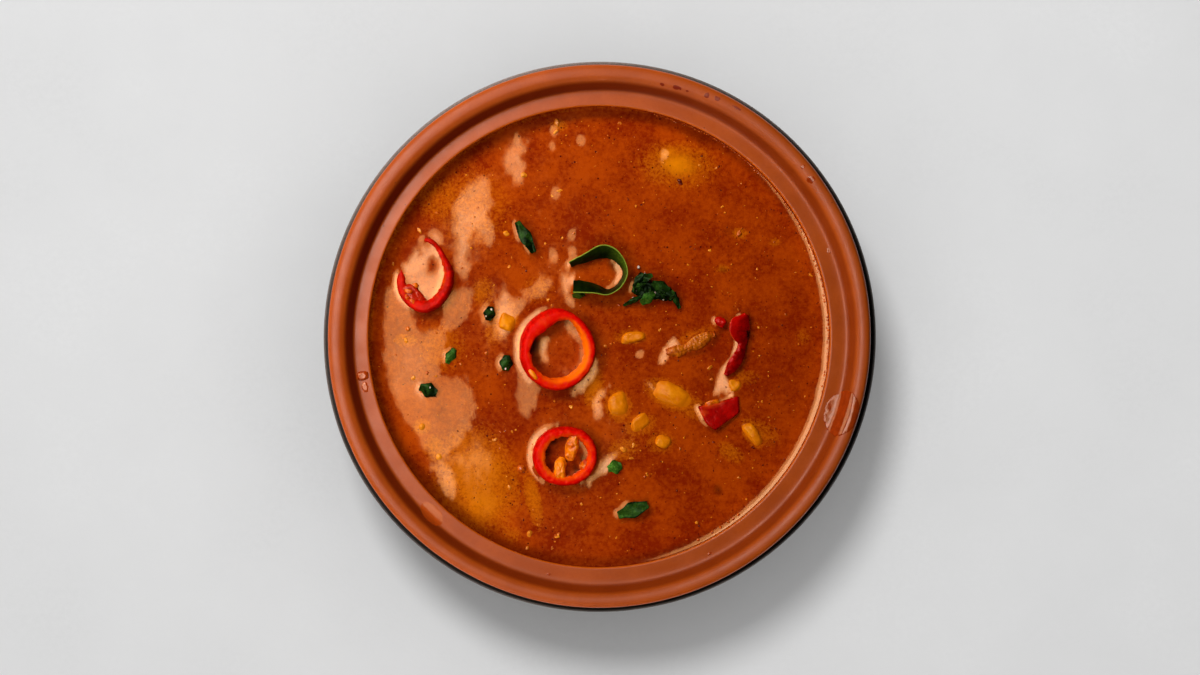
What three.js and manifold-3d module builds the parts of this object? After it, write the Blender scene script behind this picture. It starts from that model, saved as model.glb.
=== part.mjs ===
// A bowl of goulash soup: a round clay bowl with a rolled rim, filled with a thick paprika soup.
// Chilli rings, a curl of onion leaf, chopped herb, red pepper, potato and meat lie half sunk in it.
// Millimetres, Z up. The origin is the middle of the plane that the foot stands on.
import * as THREE from 'three';
import Module from 'manifold-3d';
import { mergeVertices } from 'three/addons/utils/BufferGeometryUtils.js';

const wasm = await Module();
wasm.setup();

// Driving dimensions of the bowl
const BOWL_HEIGHT = 56;
const BODY_RADIUS = 80.5;
const FOOT_RADIUS = 42;
const FOOT_WIDTH = 4.2;
const FOOT_HEIGHT = 5;
const FOOT_RECESS = 4;
const FLOOR_HEIGHT = 8;
const WALL_RADIUS = 67.7;
const LEDGE_HEIGHT = 52.1;
const BEAD_INSIDE = 74.6;
const CREST_RADIUS = 77.4;
const BEAD_OUTSIDE = 78.85;
const BEAD_FOOT = 51.3;

// Driving dimensions of the soup
const SOUP_LEVEL = 48;
const MENISCUS_HEIGHT = 0.9;
const MENISCUS_REACH = 1.4;

// Divisions round the bowl and soup, and down the inside of the bowl
const SIDES = 48;
const INSIDE_STEPS = 8;

// Clearance between pieces that touch
const GAP = 0.35;

// Chilli ring divisions: round the ring, and round the section of its wall
const RING_SIDES = 24;
const RING_SECTION = 8;

const TAU = 2 * Math.PI;
const degrees = THREE.MathUtils.degToRad;
const at = (x, y, z = 0) => new THREE.Vector3(x, y, z);
const flat = (x, y) => new THREE.Vector2(x, y);

// Materials
const surface = (color, roughness) => new THREE.MeshStandardMaterial({ color, roughness, metalness: 0 });
const clay = surface(0xbf6a44, 0.38);
const broth = surface(0x96380a, 0.16);
const redFlesh = surface(0xcc1408, 0.22);
const darkFlesh = surface(0x8e0a06, 0.22);
const green = surface(0x1f4a12, 0.35);
const paleGreen = surface(0x4f7a1e, 0.38);
const golden = surface(0xc8700f, 0.3);
const brown = surface(0x9a4a16, 0.4);

// A repeatable random source, so that every build gives the same shapes
function randomFrom(seed) {
  let state = seed;
  return () => {
    state = (state * 1664525 + 1013904223) % 4294967296;
    return state / 4294967296;
  };
}

// The geometry's positions alone, with shared corners
function merged(geometry) {
  const bare = geometry.clone();
  bare.deleteAttribute('normal');
  bare.deleteAttribute('uv');
  return mergeVertices(bare, 1e-4);
}

// Closed mesh as a solid
function solidOf(geometry) {
  const shape = merged(geometry);
  const mesh = new wasm.Mesh({
    numProp: 3,
    vertProperties: new Float32Array(shape.attributes.position.array),
    triVerts: new Uint32Array(shape.index.array),
  });
  return new wasm.Manifold(mesh);
}

// The solid's largest body as a mesh geometry
function geometryOf(solid) {
  const bodies = solid.decompose().sort((a, b) => b.volume() - a.volume());
  const mesh = bodies[0].getMesh();
  const geometry = new THREE.BufferGeometry();
  geometry.setAttribute('position', new THREE.BufferAttribute(new Float32Array(mesh.vertProperties), 3));
  geometry.setIndex(new THREE.BufferAttribute(new Uint32Array(mesh.triVerts), 1));
  return geometry;
}

// Joins several overlapping geometries into one
function joined(geometries) {
  const solids = geometries.map(solidOf);
  return geometryOf(solids.slice(1).reduce((whole, next) => whole.add(next), solids[0]));
}

// The same shape with its surface moved out by a distance
function grown(geometry, distance) {
  const shape = merged(geometry);
  shape.computeVertexNormals();
  const position = shape.attributes.position;
  const normal = shape.attributes.normal;
  for (let i = 0; i < position.count; i += 1) {
    const p = at(position.getX(i), position.getY(i), position.getZ(i));
    p.addScaledVector(at(normal.getX(i), normal.getY(i), normal.getZ(i)), distance);
    position.setXYZ(i, p.x, p.y, p.z);
  }
  return shape;
}

// Moves every corner of a geometry by a function
function reshaped(geometry, move) {
  const position = geometry.attributes.position;
  for (let i = 0; i < position.count; i += 1) {
    const p = move(at(position.getX(i), position.getY(i), position.getZ(i)));
    position.setXYZ(i, p.x, p.y, p.z);
  }
  return geometry;
}

// A lathe about Z from a profile of radius and height
function turned(profile, sides) {
  return new THREE.LatheGeometry(profile, sides).rotateX(Math.PI / 2);
}

// Smooth run of values given at equal angles, counter-clockwise from +X
function aroundFrom(values) {
  const count = values.length;
  return (angle) => {
    const place = (((angle / TAU) % 1) + 1) % 1 * count;
    const start = Math.floor(place);
    const f = place - start;
    const [a, b, c, d] = [-1, 0, 1, 2].map((step) => values[(start + step + count) % count]);
    return b + 0.5 * f * (c - a + f * (2 * a - 5 * b + 4 * c - d + f * (3 * (b - c) + d - a)));
  };
}

// Smooth run of values given at equal steps along a length from 0 to 1
function valuesAlong(values) {
  const curve = new THREE.SplineCurve(values.map((value, i) => flat(i, value)));
  return (along) => curve.getPoint(along).y;
}

// Inside of the bowl, from the wall under the rim down to the middle of the floor
function insideCurve() {
  return new THREE.SplineCurve([
    flat(WALL_RADIUS, SOUP_LEVEL - 1.5),
    flat(WALL_RADIUS - 2.4, 38),
    flat(WALL_RADIUS - 10.2, 23.5),
    flat(42, 12.2),
    flat(20, FLOOR_HEIGHT + 0.4),
    flat(0, FLOOR_HEIGHT),
  ]);
}

// Foot ring, from the middle of its recess to its outside
function footProfile() {
  const edge = 0.8;
  const footInside = FOOT_RADIUS - FOOT_WIDTH;
  return [
    flat(0, FOOT_RECESS),
    flat(footInside - 3, FOOT_RECESS),
    flat(footInside - edge, edge),
    flat(footInside, 0),
    flat(FOOT_RADIUS - edge, 0),
    flat(FOOT_RADIUS, edge),
  ];
}

// Outside of the body, from the foot to the shoulder under the rim
function bodyProfile() {
  return new THREE.SplineCurve([
    flat(FOOT_RADIUS + 0.4, FOOT_HEIGHT),
    flat(55, 11.4),
    flat(68, 24.5),
    flat(75.8, 39),
    flat(BODY_RADIUS - 0.5, 47),
    flat(BODY_RADIUS, 49.6),
    flat(BODY_RADIUS - 0.3, BEAD_FOOT - 0.6),
  ]).getPoints(9);
}

// Rolled bead, the steep side down to the lid ledge, and the ledge's lip, from the outside to the inside
function rimProfile() {
  return [
    flat(BODY_RADIUS - 0.8, BEAD_FOOT - 0.15),
    flat(BEAD_OUTSIDE, BEAD_FOOT),
    flat(BEAD_OUTSIDE - 0.2, BEAD_FOOT + 1),
    flat(BEAD_OUTSIDE, BOWL_HEIGHT - 2.2),
    flat(BEAD_OUTSIDE - 0.05, BOWL_HEIGHT - 0.9),
    flat(CREST_RADIUS + 0.9, BOWL_HEIGHT - 0.15),
    flat(CREST_RADIUS, BOWL_HEIGHT),
    flat(CREST_RADIUS - 1.2, BOWL_HEIGHT - 0.18),
    flat(CREST_RADIUS - 1.75, BOWL_HEIGHT - 0.4),
    flat(BEAD_INSIDE, BOWL_HEIGHT - 1.25),
    flat(BEAD_INSIDE - 1, LEDGE_HEIGHT + 1.2),
    flat(BEAD_INSIDE - 1.6, LEDGE_HEIGHT + 0.5),
    flat(BEAD_INSIDE - 2.6, LEDGE_HEIGHT + 0.05),
    flat(WALL_RADIUS + 1, LEDGE_HEIGHT),
    flat(WALL_RADIUS + 0.4, LEDGE_HEIGHT - 0.05),
    flat(WALL_RADIUS + 0.1, LEDGE_HEIGHT - 0.3),
    flat(WALL_RADIUS, LEDGE_HEIGHT - 0.8),
  ];
}

function bowlGeometry() {
  const inside = insideCurve().getPoints(INSIDE_STEPS);
  return turned([...footProfile(), ...bodyProfile(), ...rimProfile(), ...inside], SIDES);
}

// Low mounds where sunk pieces of potato and meat push the surface up: x, y, reach and height
const MOUNDS = [
  [24, 50, 9, 0.5],
  [-33, 30, 8, 0.35],
  [-30, -38, 9, 0.4],
  [14, -30, 8, 0.35],
  [-26, 8, 7, 0.4],
  [40, -8, 8, 0.3],
  [-50, -8, 7, 0.3],
];

function soupRelief(x, y) {
  const raise = (sum, [mx, my, reach, height]) => {
    const away = Math.hypot(x - mx, y - my) / reach;
    return sum + height * Math.exp(-away * away);
  };
  return MOUNDS.reduce(raise, 0);
}

// Outline of the soup's underside, from the middle up to the wall, kept clear of the bowl
function soupUnderside() {
  const wall = insideCurve();
  const points = [];
  for (let i = 0; i <= INSIDE_STEPS; i += 1) {
    const t = 1 - i / INSIDE_STEPS;
    const point = wall.getPoint(t);
    const along = wall.getTangent(t);
    points.push(flat(point.x + along.y * GAP, point.y - along.x * GAP));
  }
  points[0].x = 0;
  return points;
}

// Soup up to its level, its edge climbing the wall
function soupBody() {
  const edge = WALL_RADIUS - GAP;
  const insets = [0, 0.9, 3, 9, 19, 32, 47, edge];
  const top = insets.map((inset) => {
    const climb = MENISCUS_HEIGHT * Math.exp(-inset / MENISCUS_REACH);
    return flat(edge - inset, SOUP_LEVEL + climb);
  });
  const lifted = (p) => {
    const lift = p.z >= SOUP_LEVEL ? soupRelief(p.x, p.y) : 0;
    return at(p.x, p.y, p.z + lift);
  };
  return reshaped(turned([...soupUnderside(), ...top], SIDES), lifted);
}

// A ring cut across a chilli: outer radii and wall widths at equal angles, its foot pushed off by lean
function chilliRing({ centre, outer, wall, bottom, top, lean, tilt = 0, tiltAxis = 0 }) {
  const outerAt = aroundFrom(outer);
  const wallAt = aroundFrom(wall);
  const section = [];
  for (let k = 0; k <= RING_SECTION; k += 1) {
    const turn = (k / RING_SECTION) * TAU;
    const soft = (value) => 0.5 + 0.5 * Math.sign(value) * Math.abs(value) ** 0.7;
    section.push(flat(1 + soft(Math.cos(turn)), soft(Math.sin(turn))));
  }
  section[RING_SECTION].copy(section[0]);
  const height = top - bottom;
  const shaped = (p) => {
    const angle = Math.atan2(p.y, p.x);
    const across = Math.hypot(p.x, p.y) - 1;
    const radius = outerAt(angle) - (1 - across) * wallAt(angle);
    const low = 1 - p.z;
    const x = radius * Math.cos(angle) + lean[0] * low;
    const y = radius * Math.sin(angle) + lean[1] * low;
    return at(x, y, (p.z - 0.5) * height);
  };
  const ring = reshaped(turned(section, RING_SIDES), shaped);
  const axis = at(Math.cos(degrees(tiltAxis)), Math.sin(degrees(tiltAxis)));
  ring.applyMatrix4(new THREE.Matrix4().makeRotationAxis(axis, degrees(tilt)));
  return ring.translate(centre[0], centre[1], (top + bottom) / 2);
}

// An uneven rounded lump with blunt corners
function lump({ centre, size, turn = 0, seed, detail = 2, blunt = 0.75, rough = 0.06 }) {
  const random = randomFrom(seed);
  const waves = Array.from({ length: 4 }, () => ({
    way: at(random() - 0.5, random() - 0.5, random() - 0.5).multiplyScalar(7),
    phase: random() * TAU,
  }));
  const soft = (value) => Math.sign(value) * Math.abs(value) ** blunt;
  const shaped = (p) => {
    const swell = waves.reduce((sum, { way, phase }) => sum + Math.sin(p.dot(way) + phase), 0);
    const scale = (1 + rough * swell) / 2;
    return at(soft(p.x) * size[0] * scale, soft(p.y) * size[1] * scale, soft(p.z) * size[2] * scale);
  };
  const geometry = reshaped(new THREE.IcosahedronGeometry(1, detail), shaped);
  return geometry.rotateZ(degrees(turn)).translate(...centre);
}

// A sheet with a thickness: place(along, across, side) gives a point of its upper or lower face
function sheet(columns, rows, place) {
  const positions = [];
  const index = [];
  const row = rows + 1;
  const face = (columns + 1) * row;
  for (const side of [1, -1]) {
    for (let i = 0; i <= columns; i += 1) {
      for (let j = 0; j <= rows; j += 1) {
        positions.push(...place(i / columns, j / rows, side).toArray());
      }
    }
  }
  for (let i = 0; i < columns; i += 1) {
    for (let j = 0; j < rows; j += 1) {
      const a = i * row + j;
      const [b, c, d] = [a + row, a + row + 1, a + 1];
      index.push(a, b, c, a, c, d);
      index.push(a + face, c + face, b + face, a + face, d + face, c + face);
    }
  }
  const border = [];
  for (let i = 0; i < columns; i += 1) {
    border.push(i * row);
  }
  for (let j = 0; j < rows; j += 1) {
    border.push(columns * row + j);
  }
  for (let i = columns; i > 0; i -= 1) {
    border.push(i * row + rows);
  }
  for (let j = rows; j > 0; j -= 1) {
    border.push(j);
  }
  border.forEach((p, k) => {
    const q = border[(k + 1) % border.length];
    index.push(p, p + face, q + face, p, q + face, q);
  });
  const geometry = new THREE.BufferGeometry();
  geometry.setAttribute('position', new THREE.BufferAttribute(new Float32Array(positions), 3));
  geometry.setIndex(index);
  return geometry;
}

// A flat scrap of leaf: blunt at both ends, wavy, tipped up along and across
function leafScrap({ centre, length, width, turn, rise = 0, roll = 0, columns = 4, seed }) {
  const thickness = 0.8;
  const random = randomFrom(seed);
  const phase = random() * TAU;
  const wave = 0.25 + 0.15 * random();
  const place = (along, across, side) => {
    const s = 2 * along - 1;
    const t = 2 * across - 1;
    const half = (width / 2) * (1 - 0.55 * s * s) * (1 + 0.12 * Math.sin(5 * s + phase));
    const ripple = wave * Math.sin(3 * s + 2 * t + phase);
    return at((s * length) / 2, t * half, ripple + rise * s + roll * t + (side * thickness) / 2);
  };
  return sheet(columns, 2, place).rotateZ(degrees(turn)).translate(...centre);
}

// A strip that follows a path in plan, with a width, a lean and a crown along it
function strip({ path, width, thickness, height, roll, columns, rows = 2 }) {
  const curve = new THREE.CatmullRomCurve3(path.map(([x, y]) => at(x, y)));
  const widthAt = valuesAlong(width);
  const heightAt = valuesAlong(height);
  const place = (along, across, side) => {
    const point = curve.getPointAt(along);
    const tangent = curve.getTangentAt(along);
    const t = 2 * across - 1;
    const half = widthAt(along) / 2;
    const crown = 1 - 0.45 * t * t;
    point.x -= tangent.y * t * half;
    point.y += tangent.x * t * half;
    point.z = heightAt(along) + roll * t * half + (side * thickness * crown) / 2;
    return point;
  };
  return sheet(columns, rows, place);
}

// Three chilli rings
function chilliRingLeft() {
  const ring = chilliRing({
    centre: [-51, 17.4],
    outer: [8.3, 8.4, 11, 9.8, 8.7, 9.7, 10.8, 9],
    wall: [3, 2, 1.7, 2.2, 2.8, 3.6, 3.7, 3.2],
    bottom: 45.1,
    top: 49.3,
    lean: [0.4, 0.6],
    tilt: -11.5,
    tiltAxis: 38,
  });
  const pulp = lump({ centre: [-54.2, 12, 48.6], size: [8.4, 4, 2.2], turn: -50, seed: 5, detail: 1 });
  return joined([ring, pulp]);
}

function chilliRingCentre() {
  const ring = chilliRing({
    centre: [-11.7, -4],
    outer: [11, 11.1, 11.9, 11.4, 11, 11.7, 12, 11.1],
    wall: [3.3, 3.3, 4, 5.2, 3.5, 3.6, 3.4, 3.2],
    bottom: 45.8,
    top: 51.2,
    lean: [-1.4, 0.8],
  });
  const seed = lump({ centre: [-19.4, -11, 50.9], size: [3.4, 1.4, 1], turn: -50, seed: 3, detail: 1 });
  return joined([ring, seed]);
}

function chilliRingLower() {
  const ring = chilliRing({
    centre: [-9.9, -34.9],
    outer: [9.6, 9.2, 8.3, 8.8, 9.3, 9.4, 8.9, 9.3],
    wall: [2.8, 2.8, 2.9, 3.3, 3.7, 3.3, 2.6, 2.8],
    bottom: 45.9,
    top: 50.8,
    lean: [-0.8, 0.5],
  });
  const lobes = [
    lump({ centre: [-11.4, -38.8, 48.9], size: [3.5, 7.4, 3], turn: -6, seed: 11, detail: 1 }),
    lump({ centre: [-8, -31.8, 48.9], size: [3.7, 7.2, 3], turn: -14, seed: 12, detail: 1 }),
    lump({ centre: [-4.1, -38, 48.6], size: [3.4, 3, 2.6], turn: 30, seed: 13, detail: 1 }),
  ];
  return joined([ring, ...lobes]);
}

// A piece of onion leaf standing on its edge in an open curl, wider at the top than at the foot
function onionLeafCurl() {
  const bottom = 47;
  const top = 51.3;
  const thickness = 0.8;
  const path = [
    [-8.9, 21.8], [-4.2, 24.3], [0.8, 26.8], [4.7, 25.7], [7.5, 22.2],
    [8.3, 18.4], [6.3, 14.5], [2.5, 12.3], [-1.6, 12.8], [-7.7, 13],
  ];
  const flare = valuesAlong([1.8, 2.8, 4.4, 3.6, 1.8, 1.4, 1.6, 3.4, 4.4]);
  const curve = new THREE.CatmullRomCurve3(path.map(([x, y]) => at(x, y)));
  const place = (along, across, side) => {
    const point = curve.getPointAt(along);
    const tangent = curve.getTangentAt(along);
    const inward = flare(along) * (1 - across) + (side * thickness) / 2;
    point.x += tangent.y * inward;
    point.y -= tangent.x * inward;
    point.z = bottom + (top - bottom) * across + 0.25 * Math.sin(9 * along) * across;
    return point;
  };
  return sheet(18, 3, place);
}

// Chopped herb in a small heap beside the curl: a low core with the leaves that show on it
function herbCluster() {
  const core = lump({ centre: [15.6, 13.4, 48.1], size: [13.4, 5.2, 2.4], turn: -14, seed: 21, detail: 1 });
  const leaves = [
    { centre: [11.6, 16.4, 49.3], length: 5.2, width: 2.6, turn: 70, rise: 0.6, roll: 0.3 },
    { centre: [13.6, 17.3, 49.5], length: 4.4, width: 2.4, turn: 20, rise: 0.4, roll: -0.4 },
    { centre: [14.2, 11.3, 49.8], length: 5, width: 3, turn: 38, rise: 0.5, roll: 0.7 },
    { centre: [10.2, 10.7, 48.9], length: 7, width: 1.5, turn: 26, rise: 0.3, roll: 0.2 },
    { centre: [18, 14.6, 49.9], length: 5.6, width: 3.4, turn: -24, rise: -0.3, roll: 0.5 },
    { centre: [20.6, 12, 49.1], length: 4.4, width: 2.8, turn: 15, rise: 0.4, roll: 0.4 },
    { centre: [22.4, 10.9, 49], length: 5.8, width: 1.7, turn: -66, rise: -0.4, roll: 0.2 },
  ];
  return joined([core, ...leaves.map((leaf, i) => leafScrap({ ...leaf, columns: 3, seed: 30 + i }))]);
}

// Single scraps of chopped herb scattered over the soup
function herbScraps() {
  const floating = SOUP_LEVEL + 0.45;
  const scraps = {
    herb_leaf_upper: { centre: [-21.6, 29.2, floating + 0.2], length: 10.4, width: 3.4, turn: -61 },
    herb_leaf_lower: { centre: [9.9, -50.8, floating], length: 9.4, width: 4.4, turn: 20 },
    herb_bit_1: { centre: [-32.2, 6.8, floating + 0.3], length: 4.2, width: 3.2, turn: 80, roll: 0.4 },
    herb_bit_2: { centre: [-43.5, -5.7, floating], length: 4.9, width: 3, turn: 65, roll: 0.3 },
    herb_bit_3: { centre: [-27.3, -7.7, floating], length: 4.6, width: 3.6, turn: 85, roll: 0.4 },
    herb_bit_4: { centre: [-50.2, -15.7, floating + 0.1], length: 5.4, width: 4.2, turn: -22, roll: 0.4 },
    herb_bit_5: { centre: [4.6, -38.4, floating], length: 4.2, width: 4, turn: 15, roll: 0.3 },
  };
  const entries = Object.entries(scraps);
  return entries.map(([name, scrap], i) => [name, leafScrap({ ...scrap, seed: 50 + i }), green]);
}

// Red pepper: a curved strip, a scrap by its end and a four-sided piece
function pepperStrip() {
  return strip({
    path: [[43.4, 6.4], [41.5, 2.4], [41.9, -1.8], [41, -5], [39.1, -8.4], [37.3, -11.3]],
    width: [2.4, 5.8, 4.2, 2.8, 3.4, 3.4, 1.4],
    thickness: 1.8,
    height: [48.6, 49.7, 49.6, 48.9, 49.3, 49.3, 48.3],
    roll: -0.25,
    columns: 10,
  });
}

function pepperScrap() {
  return lump({ centre: [35.6, 4.2, 48.6], size: [3.4, 2.6, 2.2], turn: -35, seed: 61, detail: 1 });
}

function pepperSquare() {
  const corners = [[29.4, -20.5], [34, -19.6], [40.6, -17.9], [40.9, -22.2], [36.6, -24.9], [33.7, -27.2]];
  const edge = 0.45;
  const outline = new THREE.Shape(corners.map(([x, y]) => flat(x, y)));
  const block = new THREE.ExtrudeGeometry(outline, {
    depth: 2.6,
    bevelSize: edge,
    bevelOffset: -edge,
    bevelThickness: edge,
    bevelSegments: 2,
  });
  const slope = (p) => at(p.x, p.y, p.z + SOUP_LEVEL - 1.2 - 0.06 * (p.x - 29) - 0.03 * (p.y + 20));
  return reshaped(block, slope);
}

// Lumps of potato that break the surface
function potatoes() {
  const lumps = [
    { centre: [20.9, -17.2, 46.6], size: [13.4, 6.6, 4], turn: -27, seed: 71 },
    { centre: [5.6, -20.2, 46.4], size: [6.8, 7.8, 4.6], turn: 15, seed: 72, detail: 1 },
    { centre: [9.8, -0.2, 47.3], size: [7, 3.2, 2.8], turn: 8, seed: 73, detail: 1 },
    { centre: [45, -28.4, 46.9], size: [8.6, 4.4, 3.4], turn: -58, seed: 74, detail: 1 },
    { centre: [-27, 4.6, 46.7], size: [5.4, 6.4, 4], turn: -25, seed: 75, detail: 1 },
    { centre: [39.7, -14.2, 47.4], size: [3.9, 3.5, 3], turn: 10, seed: 76, detail: 1 },
    { centre: [12, -25.4, 47.3], size: [6.2, 4.4, 2.8], turn: 35, seed: 77, detail: 1 },
    { centre: [18.6, -30.7, 47.3], size: [4.6, 4.2, 2.8], turn: -20, seed: 78, detail: 1 },
  ];
  return lumps.map((shape, i) => [`potato_${i + 1}`, lump(shape), golden]);
}

// A torn shred of meat lying along the surface
function meatShred() {
  return strip({
    path: [[19.6, -4.6], [24, -4], [28, -2.2], [31.4, -0.2], [34, 0.6]],
    width: [2, 3.6, 2.8, 4, 3.4, 1.6],
    thickness: 2.2,
    height: [47.4, 47.9, 47.7, 48, 47.9, 47.4],
    roll: 0.12,
    columns: 12,
  });
}

// Room that the herb heap takes up in the soup: one plain hollow under all its leaves
function herbHollow() {
  const size = [19.6, 10.6, 3.4];
  return lump({ centre: [15.2, 13.2, SOUP_LEVEL], size, turn: -14, seed: 21, detail: 1, rough: 0 });
}

// Every piece that lies in the soup: name, geometry and material
const garnish = [
  ['chilli_ring_left', chilliRingLeft(), redFlesh],
  ['chilli_ring_centre', chilliRingCentre(), redFlesh],
  ['chilli_ring_lower', chilliRingLower(), redFlesh],
  ['onion_leaf_curl', onionLeafCurl(), paleGreen],
  ['herb_cluster', herbCluster(), green],
  ...herbScraps(),
  ['pepper_strip', pepperStrip(), darkFlesh],
  ['pepper_scrap', pepperScrap(), darkFlesh],
  ['pepper_square', pepperSquare(), darkFlesh],
  ...potatoes(),
  ['meat_shred', meatShred(), brown],
];

// The soup is cut away round each piece
function soupGeometry() {
  const hollow = (name, geometry) => (name === 'herb_cluster' ? herbHollow() : grown(geometry, GAP));
  const cutters = garnish.map(([name, geometry]) => solidOf(hollow(name, geometry)));
  return geometryOf(cutters.reduce((left, cutter) => left.subtract(cutter), solidOf(soupBody())));
}

function piece(name, geometry, material) {
  const mesh = new THREE.Mesh(geometry, material);
  mesh.name = name;
  return mesh;
}

const bowlOfSoup = new THREE.Group();
bowlOfSoup.add(piece('bowl', bowlGeometry(), clay));
bowlOfSoup.add(piece('soup', soupGeometry(), broth));
garnish.forEach(([name, geometry, material]) => bowlOfSoup.add(piece(name, geometry, material)));

export default bowlOfSoup;
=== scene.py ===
# A bowl of goulash soup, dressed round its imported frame.
# Shapes are worked out in millimetres and turned to metres when each mesh is made.
import math
import bmesh
import bpy
import numpy as np
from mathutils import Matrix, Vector
from mathutils.bvhtree import BVHTree
from mathutils.kdtree import KDTree


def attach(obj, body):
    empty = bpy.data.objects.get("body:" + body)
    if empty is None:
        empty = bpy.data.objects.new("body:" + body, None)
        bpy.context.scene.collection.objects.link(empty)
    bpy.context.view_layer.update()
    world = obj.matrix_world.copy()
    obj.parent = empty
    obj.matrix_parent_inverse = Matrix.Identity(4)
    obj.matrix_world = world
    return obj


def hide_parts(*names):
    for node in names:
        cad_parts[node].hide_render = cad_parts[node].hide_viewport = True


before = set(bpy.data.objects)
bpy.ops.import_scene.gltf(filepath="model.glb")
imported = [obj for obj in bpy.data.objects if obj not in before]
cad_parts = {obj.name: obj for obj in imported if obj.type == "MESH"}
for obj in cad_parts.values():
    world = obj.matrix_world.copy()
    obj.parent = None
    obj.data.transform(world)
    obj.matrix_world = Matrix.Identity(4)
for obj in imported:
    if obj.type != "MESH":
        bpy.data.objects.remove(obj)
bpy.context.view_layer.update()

MM = 0.001
TAU = 2 * math.pi

# Dimensions of the bowl
BODY_RADIUS = 80.5
WALL_RADIUS = 67.7
LEDGE_HEIGHT = 52.1
LEDGE_RADIUS = 67.45
BEAD_OUTSIDE = 78.85
BEAD_FOOT = 51.3
GROOVE_INSIDE, GROOVE_OUTSIDE = 72, 75.2

# Dimensions of the soup
SOUP_LEVEL = 48
MENISCUS_HEIGHT = 0.42
MENISCUS_REACH = 1.25
# How strongly the soup climbs the wall, at every 30 degrees
MENISCUS_SHARE = [1.0, 0.6, 0.2, 0.15, 0.5, 1.0, 1.0, 1.0, 0.8, 0.35, 0.9, 1.0]


def together(*values):
    """Arrays of coordinates, joined into points."""
    return np.stack(values, axis=-1)


def crossed(first, second):
    return np.meshgrid(first, second, indexing="ij")


def squared(columns, rows):
    """Places from 0 to 1 along and across a grid."""
    return crossed(np.linspace(0, 1, columns), np.linspace(0, 1, rows))


def lengths(rows):
    return np.linalg.norm(rows, axis=1)


def direction(degrees):
    return math.cos(math.radians(degrees)), math.sin(math.radians(degrees))


def smooth(low, high, value):
    t = np.clip((np.asarray(value, float) - low) / (high - low), 0, 1)
    return t * t * (3 - 2 * t)


def spline(points, places):
    """Catmull-Rom run through points, at places from 0 to 1 that are shared out evenly between the points."""
    p = np.asarray(points, float)
    last = len(p) - 1
    run = np.clip(np.asarray(places, float), 0, 1) * last
    start = np.minimum(run.astype(int), last - 1)
    f = run - start
    if p.ndim == 2:
        f = f[..., None]
    before, a, b, after = p[np.maximum(start - 1, 0)], p[start], p[start + 1], p[np.minimum(start + 2, last)]
    into, out = (b - before) / 2, (after - a) / 2
    return (2 * a - 2 * b + into + out) * f**3 + (3 * b - 3 * a - 2 * into - out) * f**2 + into * f + a


def round_spline(values, angle):
    """Smooth closed run of values given at equal angles, counter-clockwise from +X."""
    v = np.asarray(values, float)
    count = len(v)
    run = (angle / TAU) % 1 * count
    start = np.floor(run).astype(int)
    f = run - start
    a, b, c, d = (v[(start + step) % count] for step in (-1, 0, 1, 2))
    return b + 0.5 * f * (c - a + f * (2 * a - 5 * b + 4 * c - d + f * (3 * (b - c) + d - a)))


def path_line(points, places):
    """Points and unit tangents at places from 0 to 1 along a smooth path, by its length."""
    p = np.asarray(points, float)
    p = np.vstack([2 * p[0] - p[1], p, 2 * p[-1] - p[-2]])
    steps = 24
    dense = []
    for i in range(1, len(p) - 2):
        x0, x1, x2, x3 = p[i - 1:i + 3]
        d0, d1, d2 = (math.sqrt(np.linalg.norm(b - a)) for a, b in ((x0, x1), (x1, x2), (x2, x3)))
        t1 = ((x1 - x0) / d0 - (x2 - x0) / (d0 + d1) + (x2 - x1) / d1) * d1
        t2 = ((x2 - x1) / d1 - (x3 - x1) / (d1 + d2) + (x3 - x2) / d2) * d1
        f = (np.arange(steps) / steps)[:, None]
        dense.append((2 * x1 - 2 * x2 + t1 + t2) * f**3
                     + (3 * x2 - 3 * x1 - 2 * t1 - t2) * f**2 + t1 * f + x1)
    dense = np.vstack(dense + [p[-2:-1]])
    length = np.concatenate([[0], np.cumsum(lengths(np.diff(dense, axis=0)))])
    where = np.asarray(places) * length[-1]
    line = together(*(np.interp(where, length, values) for values in dense.T))
    tangent = np.gradient(line, axis=0)
    return line, tangent / lengths(tangent)[:, None]


# Repeatable draws, the same as those of the solids
def draws(seed):
    state = [seed]

    def draw():
        state[0] = (state[0] * 1664525 + 1013904223) % 4294967296
        return state[0] / 4294967296

    return draw


def hashed(cell, seed):
    n = cell[0] * 374761393 + cell[1] * 668265263 + cell[2] * 1103515245 + seed * 1274126177
    n = ((n ^ (n >> 13)) * 1274126177) & 0xFFFFFFFF
    return ((n ^ (n >> 16)) & 0xFFFF) / 32767.5 - 1


def grain(points, size, seed, octaves=2):
    """Smooth noise from -1 to 1 with features of the given size."""
    p = np.asarray(points, float)
    if p.shape[-1] == 2:
        p = np.concatenate([p, np.zeros(p.shape[:-1] + (1,))], axis=-1)
    total = np.zeros(p.shape[:-1])
    weight = 1.0
    for octave in range(octaves):
        q = p / size * 2**octave + 0.37 * seed
        low = np.floor(q).astype(np.int64)
        f = q - low
        f = f * f * (3 - 2 * f)
        for corner in range(8):
            offset = np.array([corner & 1, corner >> 1 & 1, corner >> 2])
            share = np.prod(np.where(offset, f, 1 - f), axis=-1)
            total += weight * share * hashed(np.moveaxis(low + offset, -1, 0), seed + octave)
        weight /= 2
    return total / (2 - 2 * weight)


def grid_faces(columns, rows, wrap_columns=False, wrap_rows=False):
    """Quads of a grid whose point number is column * rows + row."""
    i = np.arange(columns if wrap_columns else columns - 1)
    j = np.arange(rows if wrap_rows else rows - 1)
    i, j = crossed(i, j)
    i, j = i.ravel(), j.ravel()
    i2, j2 = (i + 1) % columns, (j + 1) % rows
    return np.stack([i * rows + j, i2 * rows + j, i2 * rows + j2, i * rows + j2], axis=1)


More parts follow.
